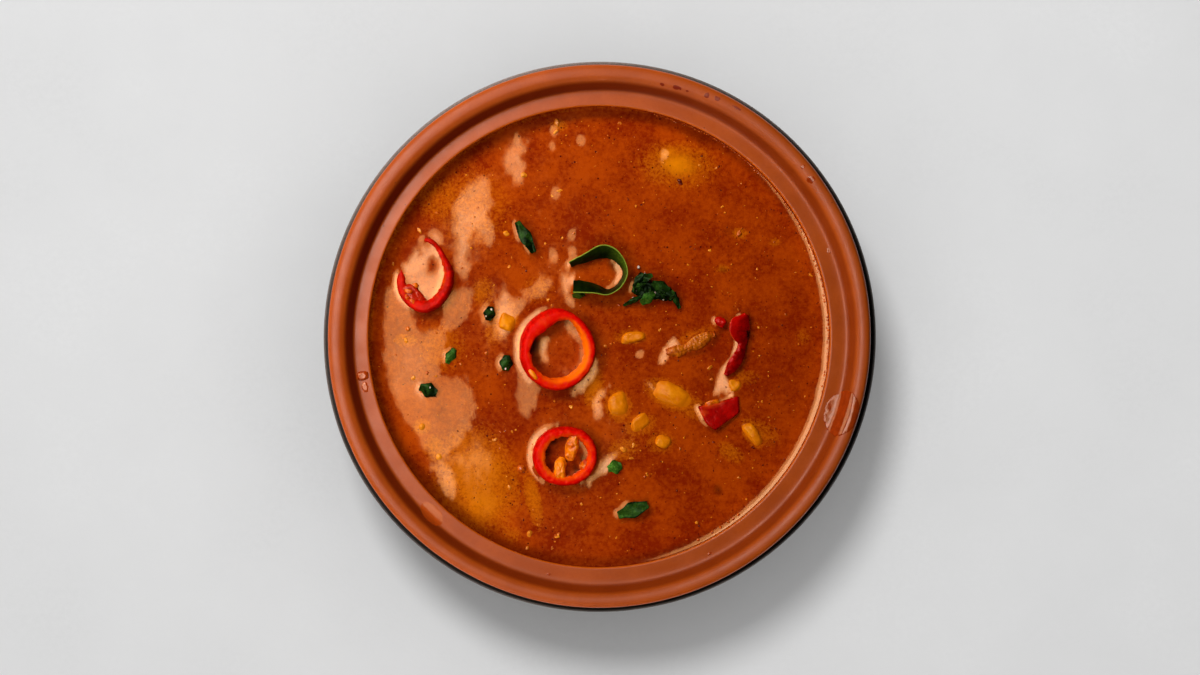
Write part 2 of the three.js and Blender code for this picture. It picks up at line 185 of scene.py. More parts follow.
def grid_border(columns, rows):
    """Numbers of the points round such a grid, in order."""
    return ([i * rows for i in range(columns - 1)] + [(columns - 1) * rows + j for j in range(rows - 1)]
            + [i * rows + rows - 1 for i in range(columns - 1, 0, -1)] + list(range(rows - 1, 0, -1)))


SPHERES = {}


def sphere(detail):
    if detail not in SPHERES:
        bm = bmesh.new()
        bmesh.ops.create_icosphere(bm, subdivisions=detail, radius=1)
        bm.verts.index_update()
        corners = np.array([v.co[:] for v in bm.verts])
        faces = np.array([[v.index for v in f.verts] for f in bm.faces])
        bm.free()
        SPHERES[detail] = (corners / lengths(corners)[:, None], faces)
    return SPHERES[detail]


class Part:
    """Corners, faces and surface fields gathered for one piece."""

    def __init__(self):
        self.corners, self.faces, self.fields = [], [], {}
        self.count = 0

    def add(self, corners, faces, **fields):
        corners = np.asarray(corners, float).reshape(-1, 3)
        for key in set(self.fields) | set(fields):
            have = self.fields.setdefault(key, [np.zeros(self.count)] if self.count else [])
            have.append(np.broadcast_to(np.ravel(np.array(fields.get(key, 0), float)), (len(corners),)))
        self.corners.append(corners)
        if isinstance(faces, np.ndarray):
            faces = faces.tolist()
        self.faces += [[index + self.count for index in face] for face in faces]
        self.count += len(corners)
        return self

    def make(self, name, look, slot, replaced):
        mesh = bpy.data.meshes.new(name)
        mesh.from_pydata((np.vstack(self.corners) * MM).tolist(), [], self.faces)
        for key, values in self.fields.items():
            mesh.attributes.new(key, "FLOAT", "POINT").data.foreach_set("value", np.concatenate(values))
        mesh.polygons.foreach_set("use_smooth", [True] * len(mesh.polygons))
        mesh.materials.append(look)
        piece = placed(name, mesh)
        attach(piece, "root")
        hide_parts(replaced)


def placed(name, data):
    made = bpy.data.objects.new(name, data)
    bpy.context.scene.collection.objects.link(made)
    return made


def turned_about(points, degrees):
    c, s = direction(degrees)
    p = np.array(points, float)
    p[..., 0], p[..., 1] = c * p[..., 0] - s * p[..., 1], s * p[..., 0] + c * p[..., 1]
    return p


# Looks

class Look:
    """Nodes of one material."""

    def __init__(self, name, ior, level, tint=(1, 1, 1), **constants):
        self.material = bpy.data.materials.new(name)
        self.material.use_nodes = True
        self.tree = self.material.node_tree
        self.shader = self.tree.nodes["Principled BSDF"]
        constants.update(IOR=ior, Specular_IOR_Level=level, Specular_Tint=(*tint, 1))
        for key, value in constants.items():
            self.shader.inputs[key.replace("_", " ")].default_value = value
        self.place = self.node("ShaderNodeTexCoord").outputs["Object"]

    def node(self, kind, **settings):
        made = self.tree.nodes.new(kind)
        for key, value in settings.items():
            setattr(made, key, value)
        return made

    def feed(self, socket, value):
        if isinstance(value, bpy.types.NodeSocket):
            self.tree.links.new(value, socket)
        elif value is not None:
            socket.default_value = value

    def field(self, name):
        return self.node("ShaderNodeAttribute", attribute_name=name).outputs["Fac"]

    def noise(self, size, detail, rough=0.5, stretch=None):
        made = self.node("ShaderNodeTexNoise")
        self.feed(made.inputs["Vector"], self.stretched(stretch) if stretch else self.place)
        made.inputs["Scale"].default_value = 1000 / size
        made.inputs["Detail"].default_value = detail
        made.inputs["Roughness"].default_value = rough
        return made.outputs["Fac"]

    def stretched(self, stretch):
        made = self.node("ShaderNodeMapping")
        self.feed(made.inputs["Vector"], self.place)
        made.inputs["Scale"].default_value = stretch
        return made.outputs["Vector"]

    def math(self, operation, *values, clamp=False):
        made = self.node("ShaderNodeMath", operation=operation, use_clamp=clamp)
        for socket, value in zip(made.inputs, values):
            self.feed(socket, value)
        return made.outputs[0]

    def plus(self, a, b, clamp=False):
        return self.math("ADD", a, b, clamp=clamp)

    def times(self, a, b, clamp=False):
        return self.math("MULTIPLY", a, b, clamp=clamp)

    def range(self, value, low, high, start=0.0, end=1.0):
        made = self.node("ShaderNodeMapRange", interpolation_type="SMOOTHSTEP")
        for socket, number in zip(made.inputs, (value, low, high, start, end)):
            self.feed(socket, number)
        return made.outputs[0]

    def mix(self, share, a, b):
        made = self.node("ShaderNodeMix", data_type="RGBA")
        self.feed(made.inputs[0], share)
        for socket, color in ((made.inputs[6], a), (made.inputs[7], b)):
            self.feed(socket, color if isinstance(color, bpy.types.NodeSocket) else (*color, 1))
        return made.outputs[2]

    def shaded(self, value, low, high, a, b):
        return self.mix(self.range(value, low, high), a, b)

    def specks(self, size, width, share):
        """Small spots: one in each of some cells of the given size."""
        cells = self.node("ShaderNodeTexVoronoi")
        self.feed(cells.inputs["Vector"], self.place)
        cells.inputs["Scale"].default_value = 1000 / size
        picked = self.math("LESS_THAN", self.times(cells.outputs["Color"], 1.0), share)
        return self.times(self.range(cells.outputs["Distance"], width, width * 0.5), picked)

    def bump(self, height, depth, under=None):
        made = self.node("ShaderNodeBump")
        made.inputs["Strength"].default_value = 1.0
        made.inputs["Distance"].default_value = depth * MM
        self.feed(made.inputs["Height"], height)
        self.feed(made.inputs["Normal"], under)
        return made.outputs["Normal"]

    def done(self, color, roughness=None, normal=None):
        for name, value in (("Base Color", color), ("Roughness", roughness), ("Normal", normal)):
            self.feed(self.shader.inputs[name], value)
        return self.material


def clay_look():
    look = Look("clay", 1.5, 0.42, (1.0, 0.9, 0.82))
    tone = look.noise(9, 3, 0.6)
    glaze = look.shaded(tone, 0.3, 0.72, (0.37, 0.056, 0.0030), (0.43, 0.069, 0.0045))
    glaze = look.mix(look.times(look.range(look.noise(0.7, 2), 0.4, 0.8), 0.22), glaze, (0.30, 0.035, 0.002))
    # Darker groove: glaze pooled there, and painted shade, deepest on the upper left where the bead shades it
    glaze = look.mix(look.field("pool"), glaze, (0.12, 0.006, 0.0002))
    glaze = look.mix(look.specks(3.2, 0.07, 0.22), glaze, (0.09, 0.018, 0.004))
    rub = look.times(look.range(look.noise(1.4, 3, 0.7), 0.52, 0.7), look.field("edge"))
    glaze = look.mix(rub, glaze, (0.12, 0.035, 0.015))
    grit = look.noise(0.5, 3, 0.65)
    coat = look.shaded(grit, 0.35, 0.7, (0.055, 0.040, 0.033), (0.115, 0.088, 0.074))
    coat = look.shaded(look.noise(12, 2), 0.4, 0.7, coat, (0.045, 0.034, 0.028))
    # Painted light: the dark coat is paler on the upper left, where the light falls
    pale = look.shaded(grit, 0.35, 0.7, (0.17, 0.125, 0.105), (0.29, 0.22, 0.19))
    coat = look.mix(look.field("pale"), coat, pale)
    # Painted shade: near-black on the coated outer face of the bead and in the crease beneath it
    coat = look.mix(look.field("seam"), coat, (0.004, 0.003, 0.002))
    bare = look.shaded(look.noise(2, 3), 0.3, 0.7, (0.36, 0.15, 0.08), (0.46, 0.21, 0.12))
    glaze = look.mix(look.field("film"), glaze, (0.56, 0.095, 0.0035))
    color = look.mix(look.field("coat"), glaze, coat)
    color = look.mix(look.field("bare"), color, bare)
    rough = look.range(look.noise(5, 2), 0.3, 0.7, 0.34, 0.42)
    rough = look.math("SUBTRACT", rough, look.times(look.field("film"), 0.14))
    rough = look.plus(rough, look.times(look.field("coat"), 0.2))
    rough = look.plus(rough, look.times(look.field("bare"), 0.2), clamp=True)
    normal = look.bump(look.noise(1.1, 2), 0.03)
    rings = look.noise(3.0, 2, 0.5, stretch=(0.04, 0.04, 1.0))
    normal = look.bump(look.times(rings, look.field("coat")), 0.25, normal)
    normal = look.bump(look.times(grit, look.field("coat")), 0.09, normal)
    return look.done(color, rough, normal)


def broth_look():
    look = Look("broth", 1.5, 0.9, (1.0, 0.48, 0.15))
    patchy = look.noise(11, 4, 0.6)
    fine = look.noise(1.5, 5, 0.75)
    shade = look.plus(look.times(patchy, 0.5), look.times(fine, 0.5))
    color = look.shaded(shade, 0.37, 0.63, (0.24, 0.0135, 0.0004), (0.47, 0.055, 0.0008))
    grit = look.noise(0.75, 3, 0.7)
    uneven = look.times(look.math("SUBTRACT", look.plus(fine, grit), 1.0), 1.3)
    # Golden soup, with painted light where the surface leans towards the light and near the wall on the upper
    # left
    gold = look.plus(look.field("gold"), uneven, clamp=True)
    gold = look.times(gold, look.range(look.field("gold"), 0.0, 0.3))
    color = look.mix(gold, color, (0.64, 0.140, 0.0010))
    color = look.mix(look.times(look.field("glow"), 1.0, clamp=True), color, (0.85, 0.235, 0.0012))
    # Dark bits and painted shade in the soup
    color = look.mix(look.field("dark"), color, (0.055, 0.004, 0.0004))
    color = look.mix(look.field("ruddy"), color, (0.24, 0.011, 0.0004))
    color = look.mix(look.times(look.specks(1.25, 0.24, 0.30), 0.75), color, (0.13, 0.004, 0.0005))
    color = look.mix(look.times(look.specks(0.8, 0.22, 0.25), 0.45), color, (0.60, 0.11, 0.001))
    color = look.mix(look.times(look.specks(2.9, 0.12, 0.28), 0.9), color, (0.05, 0.002, 0.0005))
    rough = look.range(fine, 0.3, 0.7, 0.05, 0.09)
    lit = look.math("MULTIPLY_ADD", look.field("lit"), 0.75, 0.25)
    normal = look.bump(look.times(fine, lit), 0.017)
    normal = look.bump(look.times(look.noise(0.45, 2), lit), 0.008, normal)
    return look.done(color, rough, normal)


def chilli_look():
    look = Look("chilli", 1.45, 0.15, (1.0, 0.12, 0.08),
                Subsurface_Weight=0.12, Subsurface_Radius=(1.0, 0.15, 0.05), Subsurface_Scale=0.0012)
    veins = look.noise(1.3, 3, 0.6)
    flesh = look.mix(look.field("orange"), (0.74, 0.003, 0.0004), (1.0, 0.15, 0.0010))
    flesh = look.mix(look.times(look.range(veins, 0.5, 0.75), 0.18), flesh, (0.98, 0.08, 0.001))
    skin = look.shaded(veins, 0.35, 0.7, (0.42, 0.0008, 0.0004), (0.72, 0.002, 0.0004))
    color = look.mix(look.field("skin"), flesh, skin)
    color = look.mix(look.field("deep"), color, (0.22, 0.003, 0.0005))
    normal = look.bump(veins, 0.06)
    return look.done(color, look.range(veins, 0.3, 0.7, 0.12, 0.22), normal)


def pith_look():
    look = Look("pith", 1.45, 0.35, (1.0, 0.7, 0.4),
                Subsurface_Weight=0.15, Subsurface_Radius=(1.0, 0.4, 0.1), Subsurface_Scale=0.001)
    tone = look.plus(look.times(look.noise(1.6, 3, 0.6), 0.8), look.times(look.field("tone"), 0.5))
    color = look.shaded(tone, 0.4, 0.95, (0.45, 0.010, 0.0006), (1.0, 0.235, 0.0010))
    return look.done(color, 0.22, look.bump(look.noise(0.8, 3), 0.12))


def leaf_look():
    look = Look("leaf", 1.45, 0.12, (0.9, 1.0, 0.6))
    ribs = look.noise(0.6, 2, 0.5, stretch=(1, 1, 0.12))
    tone = look.noise(4, 3)
    dark = look.shaded(tone, 0.35, 0.7, (0.0015, 0.004, 0.0005), (0.006, 0.015, 0.001))
    light = look.shaded(ribs, 0.35, 0.7, (0.036, 0.066, 0.003), (0.072, 0.118, 0.005))
    color = look.mix(look.field("light"), dark, light)
    color = look.mix(look.field("rim"), color, (0.24, 0.29, 0.022))
    return look.done(color, look.range(tone, 0.3, 0.7, 0.30, 0.42), look.bump(ribs, 0.06))


def herb_look():
    look = Look("herb", 1.45, 0.14, (0.7, 1.0, 0.4))
    veins = look.noise(0.5, 3, 0.6)
    mottled = look.noise(1.6, 2)
    dark = look.shaded(mottled, 0.35, 0.7, (0.002, 0.006, 0.001), (0.007, 0.020, 0.002))
    light = look.shaded(veins, 0.35, 0.7, (0.030, 0.120, 0.008), (0.095, 0.240, 0.020))
    tone = look.plus(look.field("light"), look.times(look.math("SUBTRACT", mottled, 0.5), 0.6), clamp=True)
    return look.done(look.mix(tone, dark, light), 0.26, look.bump(veins, 0.16))


def pepper_look():
    look = Look("pepper", 1.47, 0.4, (1.0, 0.22, 0.14))
    mottled = look.noise(2.2, 3, 0.6)
    color = look.shaded(mottled, 0.35, 0.7, (0.20, 0.0006, 0.0004), (0.42, 0.0015, 0.0006))
    color = look.mix(look.field("flesh"), color, (0.78, 0.085, 0.006))
    color = look.mix(look.field("lit"), color, (0.62, 0.003, 0.001))
    normal = look.bump(mottled, 0.14)
    return look.done(color, 0.2, look.bump(look.noise(0.6, 2), 0.03, normal))


def potato_look():
    look = Look("potato", 1.45, 0.2, (1.0, 0.6, 0.25))
    tone = look.noise(2.4, 4, 0.6)
    color = look.shaded(tone, 0.3, 0.72, (0.70, 0.160, 0.0008), (0.92, 0.29, 0.0014))
    film = look.plus(look.field("sunk"), look.times(look.math("SUBTRACT", tone, 0.5), 0.9), clamp=True)
    color = look.mix(film, color, (0.70, 0.165, 0.0008))
    normal = look.bump(tone, 0.08)
    normal = look.bump(look.noise(0.5, 2), 0.03, normal)
    return look.done(color, look.range(tone, 0.3, 0.7, 0.16, 0.30), normal)


def meat_look():
    look = Look("meat", 1.45, 0.35, (1.0, 0.6, 0.3))
    fibre = look.field("fibre")
    tone = look.plus(look.times(fibre, 0.6), look.times(look.noise(1.8, 3), 0.5))
    color = look.shaded(tone, 0.3, 0.8, (0.36, 0.045, 0.001), (0.68, 0.165, 0.003))
    color = look.mix(look.field("sunk"), color, (0.40, 0.050, 0.001))
    return look.done(color, 0.24, look.bump(tone, 0.09))


def bits_look():
    look = Look("bits", 1.45, 0.5, (1.0, 0.6, 0.3))
    uneven = look.math("SUBTRACT", look.noise(0.7, 2), 0.5)
    tone = look.plus(look.field("tone"), look.times(uneven, 0.5), clamp=True)
    color = look.shaded(tone, 0.0, 0.5, (0.10, 0.004, 0.001), (0.48, 0.07, 0.002))
    color = look.shaded(tone, 0.5, 1.0, color, (0.80, 0.24, 0.007))
    return look.done(color, 0.2, look.bump(look.noise(0.4, 2), 0.05))


def bubble_look():
    look = Look("bubble", 1.4, 0.9, (1.0, 0.75, 0.5), Roughness=0.06)
    color = look.shaded(look.noise(0.8, 2), 0.3, 0.7, (0.42, 0.045, 0.002), (0.72, 0.140, 0.006))
    return look.done(color, None, look.bump(look.noise(0.5, 1), 0.01))


# Pale colour that stands in for glints: a painted highlight
def painted_glint_drop_look():
    look = Look("painted_glint_drop", 1.45, 0.6, (1.0, 0.8, 0.6), Roughness=0.16)
    color = look.shaded(look.noise(0.8, 2), 0.3, 0.7, (0.42, 0.27, 0.19), (0.80, 0.60, 0.48))
    return look.done(color, None, look.bump(look.noise(0.4, 1), 0.02))


def sauce_look():
    look = Look("sauce", 1.45, 0.6, (1.0, 0.62, 0.32))
    tone = look.noise(1.5, 3, 0.6)
    color = look.shaded(tone, 0.3, 0.7, (0.24, 0.020, 0.001), (0.36, 0.036, 0.002))
    color = look.mix(look.field("thin"), color, (0.42, 0.055, 0.004))
    color = look.mix(look.field("dry"), color, (0.20, 0.008, 0.0005))
    return look.done(color, look.range(look.field("dry"), 0.0, 1.0, 0.12, 0.3), look.bump(tone, 0.02))


def table_look():
    look = Look("table", 1.45, 0.2)
    cloud = look.noise(70, 4, 0.6)
    grit = look.noise(2.0, 4, 0.7)
    color = look.shaded(cloud, 0.3, 0.7, (0.80, 0.80, 0.80), (0.86, 0.86, 0.86))
    color = look.shaded(grit, 0.25, 0.75, color, (0.83, 0.83, 0.83))
    return look.done(color, 0.6, look.bump(grit, 0.05))


CLAY = clay_look()
BROTH = broth_look()
CHILLI = chilli_look()
PITH = pith_look()
LEAF = leaf_look()
HERB = herb_look()
PEPPER = pepper_look()
POTATO = potato_look()
MEAT = meat_look()
BITS = bits_look()
BUBBLE = bubble_look()
PAINTED_GLINT_DROP = painted_glint_drop_look()
SAUCE = sauce_look()


# Bowl

def inside_line(places):
    points = [(WALL_RADIUS, SOUP_LEVEL - 1.5), (WALL_RADIUS - 2.4, 38), (WALL_RADIUS - 10.2, 23.5),
              (42, 12.2), (20, 8.4), (0, 8)]
    return spline(points, places)


# Bead, steep side and ledge, from under the bead to the top of the inner wall: radius and height
RIM = [
    (78.9, 51.3), (78.72, 51.9), (78.72, 52.6), (78.85, 53.6), (78.85, 54.6), (78.8, 55.2), (78.6, 55.6),
    (78.3, 55.85), (77.9, 55.97), (77.4, 56), (76.8, 55.95), (76.2, 55.82), (75.65, 55.6), (75.1, 55.28),
    (74.6, 54.75), (74.1, 54.05), (73.6, 53.3), (73.1, 52.7), (72.6, 52.35), (72, 52.15), (71.2, 52.08),
    (70.2, 52.08), (69.2, 52.1), (68.5, 52.1), (68, 52.09), (67.6, 51.95), (67.45, 51.5),
]


def rim_line():
    return spline(RIM, np.linspace(0, 1, 4 * len(RIM) - 3))


def bowl_wobble(angle):
    return 1 + 0.0006 * np.sin(2 * angle + 0.4) + 0.0004 * np.sin(3 * angle + 1.9)


# Unevenness of the body and of the bead, at every 30 degrees
BODY_SWELL = [1.0069, 1.0058, 1.0043, 1.0007, 1.0, 1.0007, 1.0027, 1.0073, 1.0045, 1.0017, 1.0042, 1.0069]
BEAD_SWELL = [1.0025, 1.006, 1.0075, 1.005, 1.004, 1.003, 1.002, 1.005, 1.002, 1.001, 1.002, 1.003]


def near_angle(angle, middle, width):
    """One at an angle in degrees, falling off to nothing over a width."""
    away = (np.degrees(angle) - middle + 180) % 360 - 180
    return np.exp(-((away / width) ** 2))


def rim_radius(radius, angle):
    """Radius on the rim with its unevenness; on the upper left the bead reaches further in over the ledge."""
    even = bowl_wobble(angle)
    swell = even + (round_spline(BEAD_SWELL, angle) - even) * smooth(72.5, 77, radius)
    furthest, middle, width = 1.1, 140, 75
    on_bead = smooth(70.6, 73.4, radius) * smooth(79, 76.2, radius)
    return radius * swell - furthest * near_angle(angle, middle, width) * on_bead


def coat_border(angle):
    """Height on the bead where the dark coat ends, creeping up in places."""
    points = together(80 * np.cos(angle), 80 * np.sin(angle))
    creep = 0.25 * grain(points, 9, 5, 3) + 0.12 * grain(points, 1.6, 8)
    return 52.9 + creep + 2.2 * near_angle(angle, -92, 13) * (0.6 + grain(points, 5, 12, 3))


def make_bowl():
    sides = 336
    foot = np.array([
        (0, 4), (20, 4), (33.6, 4), (34.8, 3.9), (35.6, 3.1), (36.6, 1.2), (37, 0.5), (37.8, 0),
        (39.5, 0), (41.2, 0), (41.8, 0.3), (42, 0.8), (41.9, 2.4), (42, 4.2),
    ])
    body = spline([
        (42.4, 5), (55, 11.4), (68, 24.5), (75.8, 39), (BODY_RADIUS - 0.5, 47), (BODY_RADIUS, 49.6),
        (BODY_RADIUS - 0.3, BEAD_FOOT - 0.6),
    ], np.linspace(0, 1, 46))
    crease = np.array([(BODY_RADIUS - 0.8, BEAD_FOOT - 0.2), (BEAD_OUTSIDE + 0.3, BEAD_FOOT - 0.15)])
    rim = rim_line()
    wall = np.linspace((LEDGE_RADIUS, LEDGE_HEIGHT - 1.2), (WALL_RADIUS, SOUP_LEVEL - 0.7), 6)
    inside = inside_line(np.linspace(0, 1, 26))
    line = np.vstack([foot, body, crease, rim, wall, inside])
    outside = len(foot) + len(body) + len(crease)
    angle = np.arange(sides) / sides * TAU
    a, k = crossed(angle, np.arange(len(line)))
    radius = np.where(k < outside, line[k, 0] * round_spline(BODY_SWELL, a), rim_radius(line[k, 0], a))
    z = line[k, 1].copy()
    border = coat_border(angle)[:, None]
    crest = outside + int(np.argmax(rim[:, 1]))
    beaded = (k >= outside) & (k < crest)
    coat = np.where(k < outside, 1.0, np.where(beaded, 1 - smooth(-0.12, 0.12, z - border), 0.0))
    # Painted shade under the bead and in the crease, lighter on the upper left where the light falls
    seam = np.where(beaded, 1 - smooth(0.0, 0.5, z - border), smooth(BEAD_FOOT - 0.75, BEAD_FOOT - 0.35, z))
    seam = seam * (k < crest) * (1 - 0.7 * near_angle(a, 110, 62))
    edge = np.exp(-((z - border - 0.25) / 0.5) ** 2) * beaded
    bare = 1 - smooth(5.0, 6.4, z + 0 * a)
    bare = np.where(k < outside, bare, 0.0)
    # In the groove: pooled glaze and painted shade, stronger towards the upper left, where the bead casts its
    # shadow
    pool = smooth(GROOVE_INSIDE, GROOVE_INSIDE + 1, line[k, 0]) * (k >= outside)
    pool = pool * smooth(GROOVE_OUTSIDE, GROOVE_OUTSIDE - 1, line[k, 0])
    pool = pool * (0.55 + 0.45 * near_angle(a, 150, 80))
    film = smooth(68.0, 67.6, radius) * smooth(47, 47.5, z) * (k >= outside)
    # Painted light on the coat, strongest on the upper left
    pale = near_angle(a, 112, 72) * smooth(47, 49, z)
    corners = together(radius * np.cos(a), radius * np.sin(a), z)
    Part().add(corners, grid_faces(sides, len(line), wrap_columns=True),
               coat=coat, seam=seam, edge=edge, bare=bare,
               pool=pool, film=film, pale=pale).make("bowl_glazed", CLAY, "glazed_clay", "bowl")


# Places where the surface of the soup leans towards the light on the left: extra slope and outline
LEANING = [
    (0.03, [(-48.7, -38), (-46.5, -37), (-43.8, -38.6), (-42.2, -42.5), (-41.5, -46.5), (-42.8, -48.5),
     (-45.2, -46.5), (-47.2, -42.5)]),
    (0.03, [(-9.5, 3.6), (-7.6, 2.9), (-5.6, 0.6), (-4.9, -1.5), (-6.2, -0.8), (-8, 1.4), (-9.8, 2.6)]),
    (0.05, [(-2, -6.4), (-0.2, -6.6), (0.6, -8.4), (-0.7, -10.6), (-3, -13), (-4.8, -15), (-7.6, -16.4),
     (-7.4, -14.4), (-4.6, -12.4), (-2.4, -10)]),
    (0.05, [(2.6, -34.4), (4.6, -35.4), (2.8, -38.4), (0.4, -40.6), (-2.4, -43), (-5.4, -44.2), (-5.6, -42.6),
     (-2.9, -41.2), (-0.9, -39.4), (0.8, -37)]),
    (0.045, [(5.6, 22.4), (6.9, 20.6), (7.3, 18.2), (6.4, 15.6), (4.4, 13.8), (5, 15.8), (5.9, 18),
     (5.7, 20.2)]),
    (0.013, [(-63.1, 14.3), (-57.2, 14.9), (-55.2, 10.8), (-54.6, 5.5), (-52.5, 1.4), (-46.7, 2),
     (-44.6, 5.5), (-45.8, 10.8), (-43.2, 13.7), (-37.3, 13.1), (-37.9, 7.8), (-42.3, 3.4), (-44.9, 0.5),
     (-44.9, -4.5), (-47.9, -9.2), (-46.1, -12.1), (-38.5, -12.1), (-36.4, -16.2), (-36.2, -21.5),
     (-37.5, -26.5), (-40.5, -30.5), (-44.5, -34), (-48.5, -35.5), (-52.5, -30.3), (-56.9, -24.4),
     (-60.2, -18.6), (-61.9, -12.7), (-63.1, -3.9)]),
    (0.035, [(-24.1, 58.3), (-22, 57.1), (-22.9, 53.3), (-21.2, 50), (-22.6, 46.5), (-23.8, 44.8),
     (-25.9, 48.3), (-27.6, 51.2), (-26.2, 55.3)]),
    (0.03, [(-37.9, 44.2), (-32.6, 46.8), (-32, 43), (-31.7, 39.2), (-33.2, 34.8), (-30, 30.7), (-31.4, 26.6),
     (-34.4, 29.5), (-36.4, 32.5), (-38.5, 29.5), (-38.5, 24.8), (-38.2, 20.1), (-39.3, 16.6), (-41.1, 19),
     (-41.7, 24), (-41.1, 28.9), (-41.7, 34.2), (-42, 38.6)]),
    (0.022, [(-22.3, 13.4), (-17.9, 15.7), (-16.5, 18.7), (-14.1, 16), (-15, 12.2), (-17.9, 11.3),
     (-20.9, 9.9)]),
    (0.045, [(-27.9, 14.6), (-26.2, 11.9), (-23.5, 11.3), (-22, 10.2), (-23.2, 6.7), (-25.6, 3.1), (-27, 0.2),
     (-29.4, 1.4), (-30, 5.5), (-29.4, 10.8)]),
    (0.016, [(-23.2, -11.5), (-19.7, -13.3), (-17.4, -15.6), (-18.5, -19.7), (-20.9, -23.8), (-22.9, -22.1),
     (-24.1, -18)]),
    (0.07, [(34.5, -12.1), (36, -11.2), (39.2, -13.9), (39.5, -17.1), (33.5, -17.1)]),
    (0.06, [(-16.4, 0.2), (-15.3, -0.6), (-15.8, -3.5), (-15, -7.2), (-17.1, -7.2), (-17.9, -4.5),
     (-17.4, -1.6)]),
    (0.06, [(-57.9, 18.2), (-56.1, 22.3), (-53.3, 24.2), (-51, 25.6), (-48.7, 26.3), (-47.5, 23.7),
     (-49.8, 21.9), (-51.2, 19.6), (-48.7, 18.6), (-46.1, 20), (-44.7, 17.7), (-45.4, 14.9), (-47.3, 12.1),
     (-49.6, 11.2), (-51.9, 12.1), (-52.9, 14.5), (-56.1, 15.4), (-57.7, 16.3)]),
    (0.07, [(22.6, 0.1), (23.2, -1.8), (21.6, -4.9), (18.7, -8), (18, -7), (19.3, -3.8), (21.3, -0.7)]),
    (0.065, [(13.9, -12.4), (15.2, -12.9), (17.2, -15.8), (15.8, -15.8), (14.2, -14.4)]),
    (0.06, [(42.5, -25.2), (43.7, -26), (46, -29.9), (45.1, -30.6), (43.2, -28.2)]),
    (0.05, [(-8.6, 18.7), (-6.5, 18.1), (-8.3, 15.2), (-8, 11.6), (-7.1, 9.3), (-10, 11.1), (-11.8, 14),
     (-10.9, 16.9)]),
    (0.045, [(3.2, -14.2), (0.2, -16.2), (-1.8, -20), (-0.6, -23), (2.3, -24.4), (0.8, -22.1), (0.5, -19.1),
     (1.7, -16.5)]),
]
# Small ones: x, y and radius
LEANING_SPOTS = [
    (-48.4, 28.9, 2.1), (-13.3, 23.7, 1.3), (-8, 24.8, 1.3), (-8, 30.1, 1), (-13.8, 55.9, 1),
    (-13.3, 60.6, 0.9), (-5.3, 57.7, 1.3), (-13, 41.8, 1.2), (12, -5.1, 1.2), (20.8, -4.5, 1.2),
    (19.4, 53.4, 0.9), (18.3, 51.7, 0.5),
]
# Low mounds over sunk pieces: x, y, reach and height
MOUNDS = [
    (24, 50, 9, 0.5), (-33, 30, 8, 0.35), (-30, -38, 9, 0.4), (14, -30, 8, 0.35), (-26, 8, 7, 0.4),
    (40, -8, 8, 0.3), (-50, -8, 7, 0.3),
]


def polygon_distance(x, y, corners):
    """Distance to the outline of a polygon, positive inside it."""
    best = np.full(x.shape, 1e9)
    inside = np.zeros(x.shape, bool)
    for (ax, ay), (bx, by) in zip(corners, corners[1:] + corners[:1]):
        ex, ey = bx - ax, by - ay
        t = np.clip(((x - ax) * ex + (y - ay) * ey) / (ex * ex + ey * ey), 0, 1)
        best = np.minimum(best, np.hypot(x - ax - t * ex, y - ay - t * ey))
        if by != ay:
            inside ^= ((ay > y) != (by > y)) & (x < ex * (y - ay) / ey + ax)
    return np.where(inside, best, -best)


class Grid:
    """Square grid of heights over the soup, smoothed by its waves."""

    COUNT = 400

    def __init__(self, cell):
        self.cell = cell
        self.axis = (np.arange(self.COUNT) - self.COUNT / 2 + 0.5) * cell
        waves = TAU * np.fft.fftfreq(self.COUNT, cell)
        self.kx, self.ky = waves[:, None], waves[None, :]

    def filtered(self, values, share):
        return np.real(np.fft.ifft2(np.fft.fft2(values) * share))

    def blur(self, width):
        return np.exp(-0.5 * (self.kx**2 + self.ky**2) * width**2)

    def at(self, x, y, values=None):
        """Value at places between the grid's points."""
        grid = self.height if values is None else values
        i, j = x / self.cell + self.COUNT / 2 - 0.5, y / self.cell + self.COUNT / 2 - 0.5
        i0, j0 = np.floor(i).astype(int), np.floor(j).astype(int)
        f, g = i - i0, j - j0
        return ((grid[i0, j0] * (1 - f) + grid[i0 + 1, j0] * f) * (1 - g)
                + (grid[i0, j0 + 1] * (1 - f) + grid[i0 + 1, j0 + 1] * f) * g)


